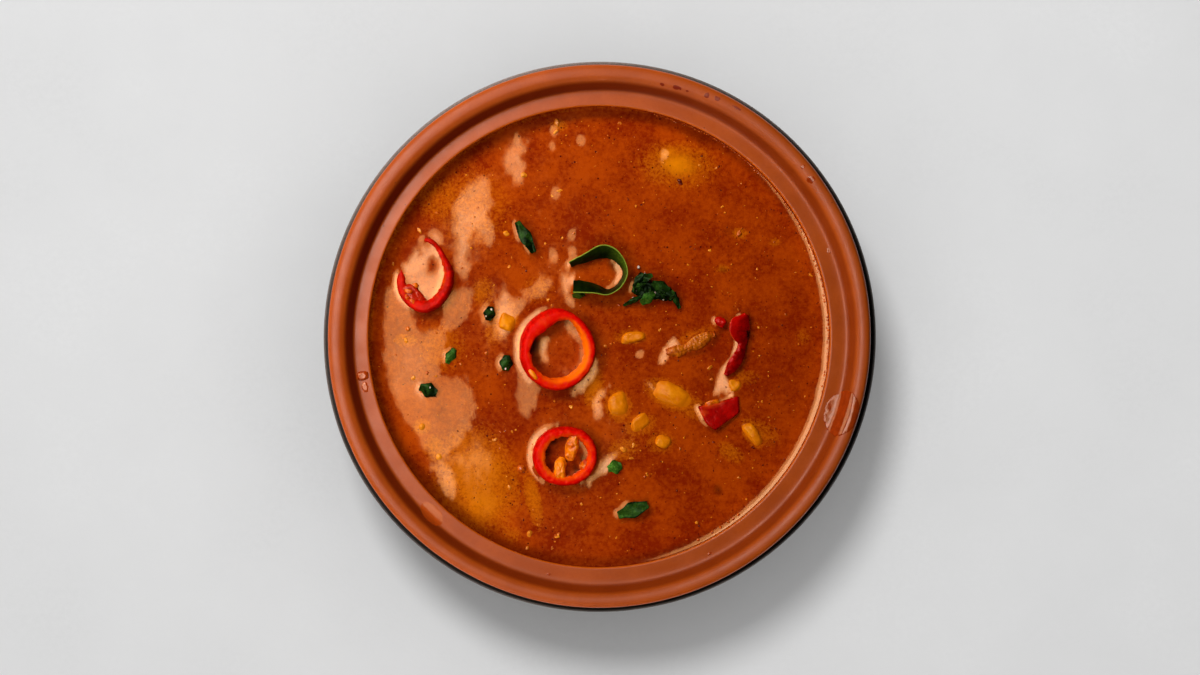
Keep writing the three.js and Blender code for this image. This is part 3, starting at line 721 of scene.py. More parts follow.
class Relief(Grid):
    """Gentle relief of the soup, worked out from the slope that each place has along X."""

    CELL = 0.4
    # Slope along X that mirrors the near edge of the light on the left: at the middle, and its change with X
    NEED, NEED_CHANGE = 0.0258, 0.000726
    MARGIN = 0.020
    FLAT_FROM = 68.5
    BLUR = 0.29

    def __init__(self):
        super().__init__(self.CELL)
        x, y = crossed(self.axis, self.axis)
        places = together(x, y)
        ragged = 1.3 * grain(places, 2.6, 3, 3) + 1.2 * grain(places, 1.1, 5, 2)
        need = self.NEED + self.NEED_CHANGE * x
        dark = np.minimum(0.0, need - self.MARGIN)
        slope = dark.copy()
        self.lit = np.zeros_like(x)
        for extra, corners in LEANING:
            inward = polygon_distance(x, y, corners) + ragged
            slope = np.maximum(slope, dark + (need + extra - dark) * smooth(-0.35, 0.35, inward))
            self.lit = np.maximum(self.lit, smooth(-1.6, 0.4, inward))
        for cx, cy, radius in LEANING_SPOTS:
            lit = smooth(-0.6, 0.6, radius - np.hypot(x - cx, y - cy) + 0.5 * ragged)
            slope = np.maximum(slope, dark + (need + 0.05 - dark) * lit)
        outside = np.hypot(x, y) > self.FLAT_FROM
        slope[outside] = 0
        share = slope.sum(axis=0) / outside.sum(axis=0)
        slope = slope - outside * share[None, :]
        below = self.kx**2 + 0.05 * self.ky**2
        below[0, 0] = 1
        self.height = self.filtered(slope, (-1j * self.kx) / below * self.blur(self.BLUR))
        self.height -= self.height[~outside].mean()


RELIEF = Relief()

# Heights above and below the surface of the soup from which rays look for the pieces that float in it
FROM_ABOVE, FROM_BELOW = 60, 40
# Pieces that pass through the surface of the soup: corners, faces, how strongly and how far each draws the
# soup up, and the ring's middle and radius inside which it doesn't
AFLOAT = []


def afloat(part, strength, width=1.6, inner=None):
    AFLOAT.append((np.vstack(part.corners), list(part.faces), strength, width, inner))


class Draw(Grid):
    """How far the soup climbs beside the pieces that float in it, most of all on their left."""

    CELL = 0.36
    BLUR = 0.42

    def __init__(self):
        super().__init__(self.CELL)
        axis, blur = self.axis, self.blur(self.BLUR)
        shape = (self.COUNT, self.COUNT)
        self.height = np.zeros(shape)
        for corners, faces, strength, width, inner in AFLOAT:
            tree = BVHTree.FromPolygons(corners.tolist(), faces)
            reach = width + 1.5
            low, high = corners.min(axis=0) - reach, corners.max(axis=0) + reach
            i0, j0 = (np.searchsorted(axis, low[:2])).tolist()
            i1, j1 = (np.searchsorted(axis, high[:2])).tolist()
            inside = []
            for i in range(i0, i1):
                for j in range(j0, j1):
                    top = tree.ray_cast((axis[i], axis[j], FROM_ABOVE), (0, 0, -1))[0]
                    if top is None or top.z < SOUP_LEVEL - 0.1:
                        continue
                    under = tree.ray_cast((axis[i], axis[j], FROM_BELOW), (0, 0, 1))[0]
                    if under is not None and under.z < SOUP_LEVEL + 0.75:
                        inside.append((i, j))
            if not inside:
                continue
            nearest = KDTree(len(inside))
            for n, (i, j) in enumerate(inside):
                nearest.insert((axis[i], axis[j], 0), n)
            nearest.balance()
            away = np.full(shape, reach)
            for i in range(i0, i1):
                for j in range(j0, j1):
                    away[i, j] = min(reach, nearest.find((axis[i], axis[j], 0))[2])
            away = self.filtered(away, blur)
            nx, ny = np.gradient(away, self.CELL)
            size = np.hypot(nx, ny) + 1e-6
            nx, ny = nx / size, ny / size
            climb = np.clip(-0.92 * nx + 0.39 * ny, 0, 1) ** 0.7
            if inner:
                from_middle = np.hypot(axis[:, None] - inner[0], axis[None, :] - inner[1])
                climb = climb * smooth(inner[2] - 0.5, inner[2] + 0.5, from_middle)
            pull = strength * (0.12 + climb) * np.clip(1 - away / width, 0, 1) ** 2
            self.height = np.maximum(self.height, pull)
        self.height = self.filtered(self.height, blur)


def soup_height(x, y, draw):
    x, y = np.asarray(x, float), np.asarray(y, float)
    places = together(x, y)
    inset = np.maximum(WALL_RADIUS - np.hypot(x, y), 0)
    z = SOUP_LEVEL + RELIEF.at(x, y)
    z = z + MENISCUS_HEIGHT * round_spline(MENISCUS_SHARE, np.arctan2(y, x)) * np.exp(-inset / MENISCUS_REACH)
    for mx, my, reach, height in MOUNDS:
        z = z + 0.4 * height * np.exp(-((x - mx) ** 2 + (y - my) ** 2) / reach**2)
    z = z + 0.010 * grain(places, 3.2, 21, 2)
    return z + draw.at(x, y)


# Lumps of potato: middle, size, turn in degrees and seed
POTATOES = [
    ((20.9, -17.2, 46.6), (13.4, 6.6, 4), -27, 71), ((5.6, -20.2, 46.4), (6.8, 7.8, 4.6), 15, 72),
    ((9.8, -0.2, 47.3), (7, 3.2, 2.8), 8, 73), ((45, -28.4, 46.9), (8.6, 4.4, 3.4), -58, 74),
    ((-27, 4.6, 46.7), (5.4, 6.4, 4), -25, 75), ((39.7, -14.2, 47.4), (3.9, 3.5, 3), 10, 76),
    ((12, -25.4, 47.3), (6.2, 4.4, 2.8), 35, 77), ((18.6, -30.7, 47.3), (4.6, 4.2, 2.8), -20, 78),
]

# Softly edged places in the soup: x, y, half width, half height, turn in degrees and strength
GOLD = [
    (-36, -42, 13, 17, 20, 0.95), (-34, -50, 9, 7, 20, 0.7), (-38, 38, 14, 15, 0, 0.34),
    (-46, 40, 9, 8, 0, 0.42), (-19.4, -47.9, 2.6, 9.5, 12, 0.75), (-1.6, -15, 3.4, 7, 0, 0.75),
    (23, 50.3, 13, 8, 0, 0.55), (28, -21, 9, 4, -20, 0.5), (47.5, -28, 7, 4, -30, 0.45),
    (12, -26, 6, 4, 20, 0.5), (18, -31, 5, 4, 0, 0.45), (7, -33, 6, 4, 20, 0.45),
    (38.5, -34, 5, 3, -35, 0.5), (-56.9, -1, 4, 2.2, 0, 0.7), (-52, -26.5, 3, 2.6, 0, 0.8),
    (-48, -33, 4, 5, 20, 0.6), (-46, -3, 9, 9, 0, 0.35), (41.3, 30.4, 2.6, 2, 0, 0.6),
    (36.3, 20, 2.6, 1.4, 0, 0.5), (51.5, 27.8, 2, 1.6, 0, 0.45), (9, 0, 6, 2.6, 0, 0.4),
    (-29, 4, 4, 8, -30, 0.55), (-18, 14, 6, 5, 30, 0.3), (-12, 62, 3, 2, 0, 0.6), (43, -12, 5, 3, 0, 0.35),
    (28, 0, 8, 3, 20, 0.35), (-34, 13, 4, 5, 0, 0.45), (60, 0, 3, 3, 0, 0.3), (-26, -58, 4, 3, -20, 0.4),
]
GLOW = [
    (20.9, -17.6, 5.6, 2.6, -27, 0.7), (23.4, 50.6, 5.2, 3.4, -12, 0.85), (20, 53.8, 3, 1.8, 20, 0.6),
    (-34, -50, 5.5, 5, 0, 0.25),
]
# Dark places: some are dark bits in the soup, most are painted shade, such as the shadows inside the rings on
# their upper left, under the meat shred, between the pepper pieces and beside the onion leaf
DARK_SPOTS_AND_SHADE = [
    (-18.9, -2.2, 1.7, 4.2, 0, 1), (-17.2, 2.6, 2.6, 1.7, 42, 1), (-13.4, 4.6, 3.2, 1.6, 14, 1),
    (-9.4, 4.6, 2, 1.4, -20, 0.7), (-18.2, -6.6, 1.2, 2, 25, 0.7), (-15.4, -33.4, 1.6, 3, 5, 0.9),
    (-13.4, -30.6, 2.4, 1.5, 40, 0.9), (-10.8, -29.6, 1.6, 1.3, 0, 0.8), (-46, -46.5, 15, 3.6, -45, 0.4),
    (34.2, -0.6, 5, 1.3, 58, 0.5), (28, -5, 4.5, 1, 12, 0.4), (33, -12.5, 1, 4, 0, 0.35),
    (-6.6, -39, 1.3, 2.4, 20, 0.8), (-14.4, -38, 1.3, 2, -30, 0.6), (-4.8, -35.4, 1.2, 1.6, 0, 0.8),
    (4.5, 21.4, 2.4, 3.2, 20, 0.8), (0, 23.6, 5, 1.6, 20, 0.8), (9.4, 17.2, 1.6, 3.2, 0, 0.8),
    (29, 59, 6.5, 2.6, -25, 0.28), (-32.6, -56, 7.5, 4, -30, 0.25), (34.8, -45, 1.5, 2, 20, 0.6),
    (36.4, 19.6, 1.6, 1.2, 0, 0.4), (40, 8.5, 1.8, 1.2, 0, 0.2), (53, 47, 8, 4, -45, 0.15),
    (38, 31, 2, 2, 0, 0.2), (-30, -66, 40, 3, -28, 0.15),
]
RUDDY = [
    (52, -8, 16, 40, 0, 0.16), (20, 30, 14, 14, 0, 0.15), (-24, -21, 9, 12, 20, 0.3),
    (5, -55, 25, 12, 10, 0.1), (-40, -3, 6, 9, 0, 0.25), (-50, 33, 9, 9, 0, 0.15), (-5, 40, 18, 12, 0, 0.08),
    (-12, -6, 9, 9, 0, 0.2),
]


def blobs(x, y, places, table):
    total = np.zeros_like(x)
    for cx, cy, wide, tall, turn, strength in table:
        c, s = direction(turn)
        u, v = c * (x - cx) + s * (y - cy), -s * (x - cx) + c * (y - cy)
        away = (u / wide) ** 2 + (v / tall) ** 2
        total = np.maximum(total, strength * (1 - smooth(0.15, 1.3, np.sqrt(away))))
    return np.clip(total * (1 + 0.45 * places), 0, 1)


def make_soup(draw):
    count, overlap, inset_below = 285, 0.08, 0.25
    outer = WALL_RADIUS + overlap
    a, b = crossed(np.linspace(-1, 1, count), np.linspace(-1, 1, count))
    wide = np.abs(a) > np.abs(b)
    with np.errstate(divide="ignore", invalid="ignore"):
        reach = np.where(wide, a, b)
        angle = np.where(wide, math.pi / 4 * b / a, math.pi / 2 - math.pi / 4 * a / b)
    angle = np.where(reach == 0, 0, angle)
    x, y = (outer * reach * np.cos(angle)).ravel(), (outer * reach * np.sin(angle)).ravel()
    z = soup_height(x, y, draw)
    places = together(x, y)
    mottled = grain(places, 2.6, 31, 3)
    faces = grid_faces(count, count).tolist()
    ring = np.array(grid_border(count, count))
    top = together(x, y, z)
    corners = [top]
    way = top[ring, :2] / lengths(top[ring, :2])[:, None]
    last = ring
    total = len(top)
    for place in np.linspace(0.0, 0.94, 9):
        radius, height = inside_line(np.array([place]))[0]
        lower = np.column_stack([way * (radius - inset_below), np.full(len(way), height + inset_below)])
        new = total + np.arange(len(ring))
        faces += np.stack([last, new, np.roll(new, -1), np.roll(last, -1)], axis=1).tolist()
        corners.append(lower)
        last, total = new, total + len(ring)
    corners.append(np.array([[0, 0, 8.3]]))
    faces += [[int(p), total, int(q)] for p, q in zip(last, np.roll(last, -1))]
    corners = np.vstack(corners)
    fields = {}
    over_potato = [(px, py, 0.62 * long, 0.66 * across, turn, 0.9)
                   for (px, py, _), (long, across, _), turn, _ in POTATOES]
    inset, way_round = WALL_RADIUS - np.hypot(x, y), np.arctan2(y, x)
    far_left, near_left = near_angle(way_round, 140, 70), near_angle(way_round, 225, 35)
    near_wall = smooth(3.6, 0.6, inset + 0.5 * mottled)
    lit = RELIEF.at(x, y, RELIEF.lit)
    for name, table in (("gold", GOLD + over_potato), ("glow", GLOW), ("dark", DARK_SPOTS_AND_SHADE), ("ruddy", RUDDY)):
        values = blobs(x, y, mottled, table)
        if name == "dark":
            # Painted shade near the wall, away from the upper left where the light falls
            values = np.maximum(values, near_wall * (0.22 * (1 - far_left) + 0.3 * near_left))
        elif name == "gold":
            # Painted light: golder where the surface leans towards the light and along the wall on the upper
            # left
            values = np.maximum(values, np.maximum(0.10 * lit, 0.35 * far_left * smooth(1.9, 0.5, inset)))
        fields[name] = values
    fields["lit"] = lit
    fields = {name: np.append(values, np.zeros(len(corners) - len(x))) for name, values in fields.items()}
    Part().add(corners, faces, **fields).make("soup_body", BROTH, "broth", "soup")


# Chilli rings

def chilli_ring(part, centre, outer, wall, bottom, top, lean, seed, orange, tilt=0, tilt_axis=0,
                darkness=0.0, lift=0.0):
    around, section = 168, 44
    turn = np.arange(section) / section * TAU

    def soft(value):
        return 0.5 + 0.5 * np.sign(value) * np.abs(value) ** 0.7

    a, k = crossed(np.arange(around) / around * TAU, np.arange(section))
    across, high = soft(np.cos(turn))[k], soft(np.sin(turn))[k]
    ball = together(12 * np.cos(a), 12 * np.sin(a), 4 * across + 3 * high)
    width = round_spline(wall, a)
    radius = round_spline(outer, a) - (1 - across) * width
    radius = radius + 0.16 * grain(ball, 2.2, seed, 3) + (1 - across) * 0.42 * grain(ball, 1.5, seed + 3, 3)
    height = top - bottom
    dish = -0.5 * smooth(0.05, 0.5, high) * (4 * across * (1 - across)) * 0.5
    z = (high - 0.5) * height + dish + 0.10 * grain(ball, 1.3, seed + 6, 2) + lift * near_angle(a, 84, 20)
    p = together(radius * np.cos(a) + lean[0] * (1 - high), radius * np.sin(a) + lean[1] * (1 - high), z)
    axis = np.array([*direction(tilt_axis), 0])
    c, s = direction(tilt)
    p = p * c + np.cross(axis, p) * s + axis * (p @ axis)[..., None] * (1 - c)
    p = p + np.array([*centre, (top + bottom) / 2])
    skin = smooth(0.62, 0.90, across + 0.08 * grain(ball, 1.5, seed + 9, 2)) * 0.85
    skin = np.maximum(skin, smooth(0.75, 0.35, high) * (across > 0.5))
    shade = round_spline(orange, a) * smooth(0.52, 0.10, across) + 0.25 * grain(ball, 1.9, seed + 12, 3)
    deep = np.maximum(smooth(0.42, 0.12, high) * 0.6, darkness * (1 + 0.9 * grain(ball, 1.4, seed + 15, 2)))
    part.add(p, grid_faces(around, section, True, True), skin=skin,
             orange=np.clip(shade, 0, 1), deep=deep)


def lump(part, centre, size, turn, seed, detail, blunt=0.75, rough=0.06, crumbly=0.0, **fields):
    draw = draws(seed)
    p, faces = sphere(detail)
    swell = np.zeros(len(p))
    for _ in range(4):
        way = np.array([draw() - 0.5, draw() - 0.5, draw() - 0.5]) * 7
        swell += np.sin(p @ way + draw() * TAU)
    scale = (1 + rough * swell) / 2
    q = np.sign(p) * np.abs(p) ** blunt * np.asarray(size, float) * scale[:, None]
    if crumbly:
        q = q + p * (crumbly * grain(q, 1.7, seed + 2, 3))[:, None]
    q = turned_about(q, turn) + np.asarray(centre, float)
    part.add(q, faces, **fields)
    return q


def make_rings():
    part = Part()
    chilli_ring(part, (-51, 17.4), (8.3, 8.6, 11.8, 9.8, 8.7, 9.7, 10.8, 9),
                (3, 2, 1.9, 2.2, 2.8, 3.6, 3.7, 3.2), 45.1, 49.3, (0.4, 0.6), 101,
                (0.45, 0.15, 0, 0, 0, 0, 0, 0.1), -11.5, 38, 0.5, 0.85)
    afloat(part, 0.18, 1.3)
    part.make("chilli_ring_left_flesh", CHILLI, "red_chilli", "chilli_ring_left")
    part = Part()
    lump(part, (-54.2, 12, 48.5), (8.4, 4, 2.0), -50, 5, 5, crumbly=0.5, tone=-0.62)
    random = np.random.default_rng(7).random
    seeds = [(-55.9, 13.3, 2.6), (-54.6, 10.4, 2.4), (-53.2, 9.4, 2), (-50.4, 8.7, 1.8),
             (-56.4, 11.6, 1.6), (-48.6, 9, 1.5)]
    for i, (x, y, long) in enumerate(seeds):
        height = 49.4 + 0.1 * random()
        lump(part, (x, y, height), (long, 1.3, 0.9), -60 + 50 * random(), 40 + i, 3, tone=0.35)
    lump(part, (-54.2, 14.9, 48.45), (2.2, 1.6, 1.0), 20, 47, 3, tone=0.6)
    part.make("chilli_ring_left_pulp", PITH, "red_chilli", "chilli_ring_left")

    part = Part()
    chilli_ring(part, (-11.7, -4), (11, 11.1, 11.9, 11.4, 11, 11.7, 12, 11.1),
                (3.1, 3.3, 3.1, 2.5, 3.7, 5, 4.8, 3.7, 3, 3.2, 3.2, 3.2, 3.4, 3.1, 2.8, 2.8),
                45.8, 51.2, (-1.4, 0.8), 131, (1.1, 0.9, 0.1, 0, 0.1, 0.3, 0.7, 1.1))
    afloat(part, 0.30, inner=(-11.7, -4, 10))
    part.make("chilli_ring_centre_flesh", CHILLI, "red_chilli", "chilli_ring_centre")
    part = Part()
    lump(part, (-19.4, -11, 51.0), (3.4, 1.4, 0.8), -50, 3, 4, tone=1.0)
    part.make("chilli_ring_centre_kernel", PITH, "red_chilli", "chilli_ring_centre")

    part = Part()
    chilli_ring(part, (-9.9, -34.9), (9.6, 9.2, 8.3, 8.8, 9.3, 9.4, 8.9, 9.3),
                (2.8, 2.8, 2.9, 3.3, 3.7, 3.3, 2.6, 2.8), 45.9, 50.8, (-0.8, 0.5), 151,
                (0.3, 0.35, 0.3, 0.45, 0.7, 0.8, 0.6, 0.3))
    afloat(part, 0.34, inner=(-9.9, -34.9, 8))
    part.make("chilli_ring_lower_flesh", CHILLI, "red_chilli", "chilli_ring_lower")
    part = Part()
    lump(part, (-11.3, -39.2, 48.9), (3.3, 8.0, 3), -6, 11, 5, crumbly=0.75, tone=0.8)
    lump(part, (-7.8, -31.7, 48.9), (3.4, 8.0, 3), -14, 12, 5, crumbly=0.75, tone=0.65)
    lump(part, (-4.1, -38, 48.6), (3.4, 3, 2.6), 30, 13, 4, crumbly=0.45, tone=0.4)
    part.make("chilli_ring_lower_pith", PITH, "red_chilli", "chilli_ring_lower")


# Leaves

def sheet(part, columns, rows, place, **fields):
    """A closed sheet: place(along, across, side) gives points of its upper or lower face."""
    along, across = squared(columns, rows)
    upper, lower = place(along, across, 1), place(along, across, -1)
    size = columns * rows
    faces = grid_faces(columns, rows)
    border = grid_border(columns, rows)
    rim = [[p, p + size, q + size, q] for p, q in zip(border, border[1:] + border[:1])]
    values = {key: np.tile(np.broadcast_to(value, along.shape).ravel(), 2) for key, value in fields.items()}
    corners = np.vstack([upper.reshape(-1, 3), lower.reshape(-1, 3)])
    part.add(corners, faces.tolist() + (faces[:, ::-1] + size).tolist() + rim, **values)
    return corners


def leaf_scrap(part, centre, length, width, turn, rise, roll, seed, light, crinkle=0.16, curl=0.0):
    draw = draws(seed)
    phase = draw() * TAU
    wave = 0.25 + 0.15 * draw()

    def place(along, across, side):
        s, t = 2 * along - 1, 2 * across - 1
        half = width / 2 * (1 - 0.55 * s * s) * (1 + 0.12 * np.sin(5 * s + phase))
        x, y = s * length / 2, t * half
        flat = together(x + 20 * seed, y, 0 * x)
        ragged = 1 + 0.10 * grain(flat, 0.9, 61, 2) * np.abs(t)
        z = wave * np.sin(3 * s + 2 * t + phase) + rise * s + roll * t + crinkle * grain(flat, 1.1, 63, 2)
        thick = 0.28 + 0.12 * (1 - t * t)
        point = together(x, y * ragged, z + curl * t * t + side * thick)
        return turned_about(point, turn) + np.asarray(centre, float)

    along, across = squared(34, 16)
    tone = light + (0.05 + 0.25 * light) * np.sin(4 * along + phase) - 0.35 * (np.abs(2 * across - 1) > 0.86)
    return sheet(part, 34, 16, place, light=tone)


def make_curl():
    bottom, top, thickness = 47, 51.3, 0.8
    path = [(-8.9, 21.8), (-4.2, 24.3), (0.8, 26.8), (4.7, 25.7), (7.5, 22.2),
            (8.3, 18.4), (6.3, 14.5), (2.5, 12.3), (-1.6, 12.8), (-7.7, 13)]
    columns, rows = 190, 26
    line, tangent = path_line(path, np.linspace(0, 1, columns))

    def place(along, across, side):
        i = np.round(along * (columns - 1)).astype(int)
        flare = spline([1.8, 2.8, 4.4, 3.6, 1.8, 1.4, 1.6, 3.4, 4.4], along)
        thin = thickness * (0.5 - 0.34 * smooth(0.6, 1.0, across))
        inward = flare * (1 - across) + side * thin
        ruffle = grain(together(30 * along, 5 * across, 0 * along), 1.6, 71, 2)
        x = line[i, 0] + tangent[i, 1] * (inward + 0.12 * ruffle)
        y = line[i, 1] - tangent[i, 0] * (inward + 0.12 * ruffle)
        droop = smooth(0.16, 0.0, along) * 1.0
        z = bottom + (top - bottom) * across + 0.25 * np.sin(9 * along) * across
        z = z + 0.10 * ruffle - droop * across
        return together(x, y, z)

    along, across = squared(columns, rows)
    # Painted light and shade on the leaf: near-black where its faces lie in shade, lighter on the part facing
    # the light and along the top edge
    light = 0.62 * np.exp(-((along - 0.47) / 0.11) ** 2)
    light = light + 0.30 * smooth(0.5, 1.0, across) * smooth(0.72, 0.6, along)
    light = light * smooth(0.1, 0.85, across) + 0.10 * grain(together(60 * along, 2 * across), 2.5, 73)
    rim = smooth(0.97, 0.995, across)
    part = Part()
    sheet(part, columns, rows, place, light=np.clip(light, 0, 1), rim=rim)
    afloat(part, 0.22, 1.4)
    leaf_scrap(part, (-6.0, 12.2, 49.2), 3.8, 2.0, 8, 0, 0.4, 29, 0.9)
    part.make("onion_leaf", LEAF, "onion_green", "onion_leaf_curl")


def make_herbs():
    part = Part()
    lump(part, (15.6, 13.4, 48.0), (13.0, 5.0, 2.2), -14, 21, 5, crumbly=0.8, light=-0.2)
    afloat(part, 0.08, 1.2)
    # Middle, length, width, turn in degrees, rise, roll, number and lightness
    leaves = [
        ((11.6, 16.4, 49.3), 5.2, 2.6, 70, 0.6, 0.3, 30, 0),
        ((13.6, 17.3, 49.5), 4.4, 2.4, 20, 0.4, -0.4, 31, 0.08),
        ((14.2, 11.3, 49.8), 5, 3, 38, 0.5, 0.7, 32, 0.8),
        ((10.2, 10.7, 48.9), 7, 1.5, 26, 0.3, 0.2, 33, 0.12),
        ((18, 14.6, 49.9), 5.6, 3.4, -24, -0.3, 0.5, 34, 0.12),
        ((20.6, 12, 49.1), 4.4, 2.8, 15, 0.4, 0.4, 35, 0),
        ((22.4, 10.9, 49), 5.8, 1.7, -66, -0.4, 0.2, 36, 0.15),
    ]
    for leaf in leaves:
        leaf_scrap(part, *leaf)
    random = np.random.default_rng(23).random
    for i in range(16):
        along = random() * 2 - 1
        x, y = 15.4 + 6.0 * along, 13.6 - 1.6 * along + 2.6 * (random() - 0.5)
        place = (x, y, 49.2 + 0.6 * random())
        length, width, turn = 1.6 + 1.6 * random(), 0.7 + 0.8 * random(), 360 * random()
        rise, roll = 0.8 * random() - 0.4, 0.6 * random() - 0.3
        leaf_scrap(part, place, length, width, turn, rise, roll, 80 + i, 0.25 * random() ** 2)
    part.make("herb_heap", HERB, "herb_green", "herb_cluster")
    floating = SOUP_LEVEL + 0.45
    # Name, middle, length, width, turn in degrees, roll, lightness and curl
    scraps = [
        ("herb_leaf_upper", (-21.6, 29.2, floating + 0.2), 10.4, 3.4, -61, 0, 0.12, 0.5),
        ("herb_leaf_lower", (9.9, -50.8, floating), 9.4, 4.4, 20, 0, 0.40, 0.3),
        ("herb_bit_1", (-32.2, 6.8, floating + 0.3), 4.2, 3.2, 80, 0.4, 0.0, 0.2),
        ("herb_bit_2", (-43.5, -5.7, floating), 4.9, 3.0, 65, 0.3, 0.55, -0.4),
        ("herb_bit_3", (-27.3, -7.7, floating), 4.6, 3.6, 85, 0.4, 0.18, -0.3),
        ("herb_bit_4", (-50.2, -15.7, floating + 0.1), 5.4, 4.2, -22, 0.4, 0.10, -0.4),
        ("herb_bit_5", (4.6, -38.4, floating), 4.2, 4.0, 15, 0.3, 0.95, -0.5),
    ]
    for i, (name, centre, length, width, turn, roll, light, curl) in enumerate(scraps):
        part = Part()
        leaf_scrap(part, centre, length, width, turn, 0, roll, 50 + i, light, 0.2, curl)
        afloat(part, 0.14, 1.2)
        part.make(name + "_leaf", HERB, "herb_green", name)


# Red pepper

def strip(part, path, width, thickness, height, roll, columns, rows, seed, lumpy, fields):
    line, tangent = path_line(path, np.linspace(0, 1, columns))

    def place(along, across, side):
        i = np.round(along * (columns - 1)).astype(int)
        t = 2 * across - 1
        half = spline(width, along) / 2
        arch = 1 - 0.45 * t * t
        flat = together(30 * along, 3 * across, 0 * along + side)
        uneven = lumpy * grain(flat, 1.6, seed, 3)
        x = line[i, 0] - tangent[i, 1] * t * half
        y = line[i, 1] + tangent[i, 0] * t * half
        z = spline(height, along) + roll * t * half + side * thickness * arch / 2 + uneven
        return together(x, y, z)

    along, across = squared(columns, rows)
    return sheet(part, columns, rows, place, **fields(along, across))


def make_pepper():
    part = Part()
    strip(part, [(43.2, 6.6), (40.9, 2), (41.9, -1.6), (41.2, -5), (39.1, -8.4), (37.1, -11.4)],
          [1.6, 6, 4.6, 2.5, 3.4, 3.4, 1.4], 1.8, [48.6, 49.7, 49.6, 48.9, 49.3, 49.3, 48.3], -0.25,
          90, 22, 201, 0.25,
          lambda along, across: {
              "lit": smooth(0.55, 0.15, across) * (0.35 + 0.6 * smooth(0.35, 0.1, along)),
              "flesh": smooth(0.06, 0.0, across) * 0.6,
          })
    afloat(part, 0.24, 1.3)
    part.make("pepper_strip_flesh", PEPPER, "red_pepper", "pepper_strip")
    part = Part()
    lump(part, (35.6, 4.2, 48.6), (3.4, 2.6, 2.2), -35, 61, 4, crumbly=0.2, lit=0.5)
    afloat(part, 0.20, 1.2)
    part.make("pepper_scrap_flesh", PEPPER, "red_pepper", "pepper_scrap")

    corners = [(28.8, -20.4), (34.6, -19.3), (41.2, -17.1), (41.3, -22.4), (37.3, -25.1), (34, -27.6),
               (31.2, -25.4)]
    per_side, half_height, bulge, half_width = 20, 1.3, 0.9, 6.5
    outline = []
    for (ax, ay), (bx, by) in zip(corners, corners[1:] + corners[:1]):
        for step in range(per_side):
            f = step / per_side
            outline.append((ax + (bx - ax) * f, ay + (by - ay) * f))
    outline = np.array(outline)
    for _ in range(5):
        outline = 0.5 * outline + 0.25 * (np.roll(outline, 1, axis=0) + np.roll(outline, -1, axis=0))
    middle = outline.mean(axis=0)

    def level(shrink, z):
        return np.column_stack([middle + (outline - middle) * shrink, np.full(len(outline), z)])

    shape = [level(shrink, -half_height) for shrink in (0.08, 0.4, 0.7)]
    for angle in np.radians(np.linspace(-90, 90, 15)):
        shape.append(level(1 - bulge * (1 - math.cos(angle)) / half_width, half_height * math.sin(angle)))
    shape += [level(shrink, half_height) for shrink in (0.72, 0.5, 0.25, 0.08)]
    shape = np.stack(shape, axis=1)
    flat = together(shape[..., 0], shape[..., 1], 0.3 * shape[..., 2])
    upward = smooth(-0.5, 1.3, shape[..., 2])
    shape[..., 2] += 0.28 * upward * grain(flat, 3.2, 211, 2)
    top_edge = smooth(1.8, 0.4, np.abs(shape[..., 1] - (-20.1 + 0.24 * (shape[..., 0] - 29.4))))
    flesh = top_edge * smooth(29.5, 31.5, shape[..., 0]) * smooth(37.5, 34.5, shape[..., 0])
    # Painted highlight on the left side, in the flesh colour
    side = smooth(1.5, 0.5, np.hypot(shape[..., 0] - 30.4, shape[..., 1] + 22.4)) * 0.6
    shape[..., 2] += 47.9 - 0.06 * (shape[..., 0] - 29) - 0.03 * (shape[..., 1] + 20) + 0.25
    part = Part()
    columns, rows = shape.shape[:2]
    faces = grid_faces(columns, rows, wrap_columns=True).tolist()
    faces.append([i * rows for i in range(columns)][::-1])
    faces.append([i * rows + rows - 1 for i in range(columns)])
    part.add(shape, faces, flesh=np.maximum(flesh, side), lit=0.25 * upward.ravel())
    afloat(part, 0.24, 1.3)
    part.make("pepper_square_flesh", PEPPER, "red_pepper", "pepper_square")
    part = Part()
    lump(part, (33.2, -19.3, 48.8), (4.4, 1.5, 1.1), 17, 62, 4, crumbly=0.25, tone=0.55)
    part.make("pepper_square_edge", PITH, "red_pepper", "pepper_square")


# Potato and meat

def make_potatoes():
    for i, (centre, size, turn, seed) in enumerate(POTATOES):
        part = Part()
        corners = lump(part, centre, size, turn, seed, 5, crumbly=0.22)
        sunk = 1 - smooth(0.2, 1.0, corners[:, 2] - SOUP_LEVEL + 0.25 * grain(corners, 1.2, seed, 2))
        part.fields["sunk"] = [sunk]
        part.make("potato_%d_lump" % (i + 1), POTATO, "potato", "potato_%d" % (i + 1))


def make_meat():
    part = Part()
    corners = strip(part, [(19.6, -4.6), (24, -4), (28, -2.2), (31.4, -0.2), (34, 0.6)],
                    [2, 3.6, 2.8, 4, 3.4, 1.6], 2.2, [47.4, 47.9, 47.7, 48, 47.9, 47.4], 0.12,
                    110, 26, 221, 0.45,
                    lambda along, across: {
                        "fibre": 0.5 + 0.5 * grain(together(6 * along, 9 * across), 1.0, 223, 3),
                    })
    sunk = 1 - smooth(0.1, 0.9, corners[:, 2] - SOUP_LEVEL)
    part.fields["sunk"] = [sunk]
    afloat(part, 0.08, 1.8)
    part.make("meat_shred_fibres", MEAT, "meat", "meat_shred")


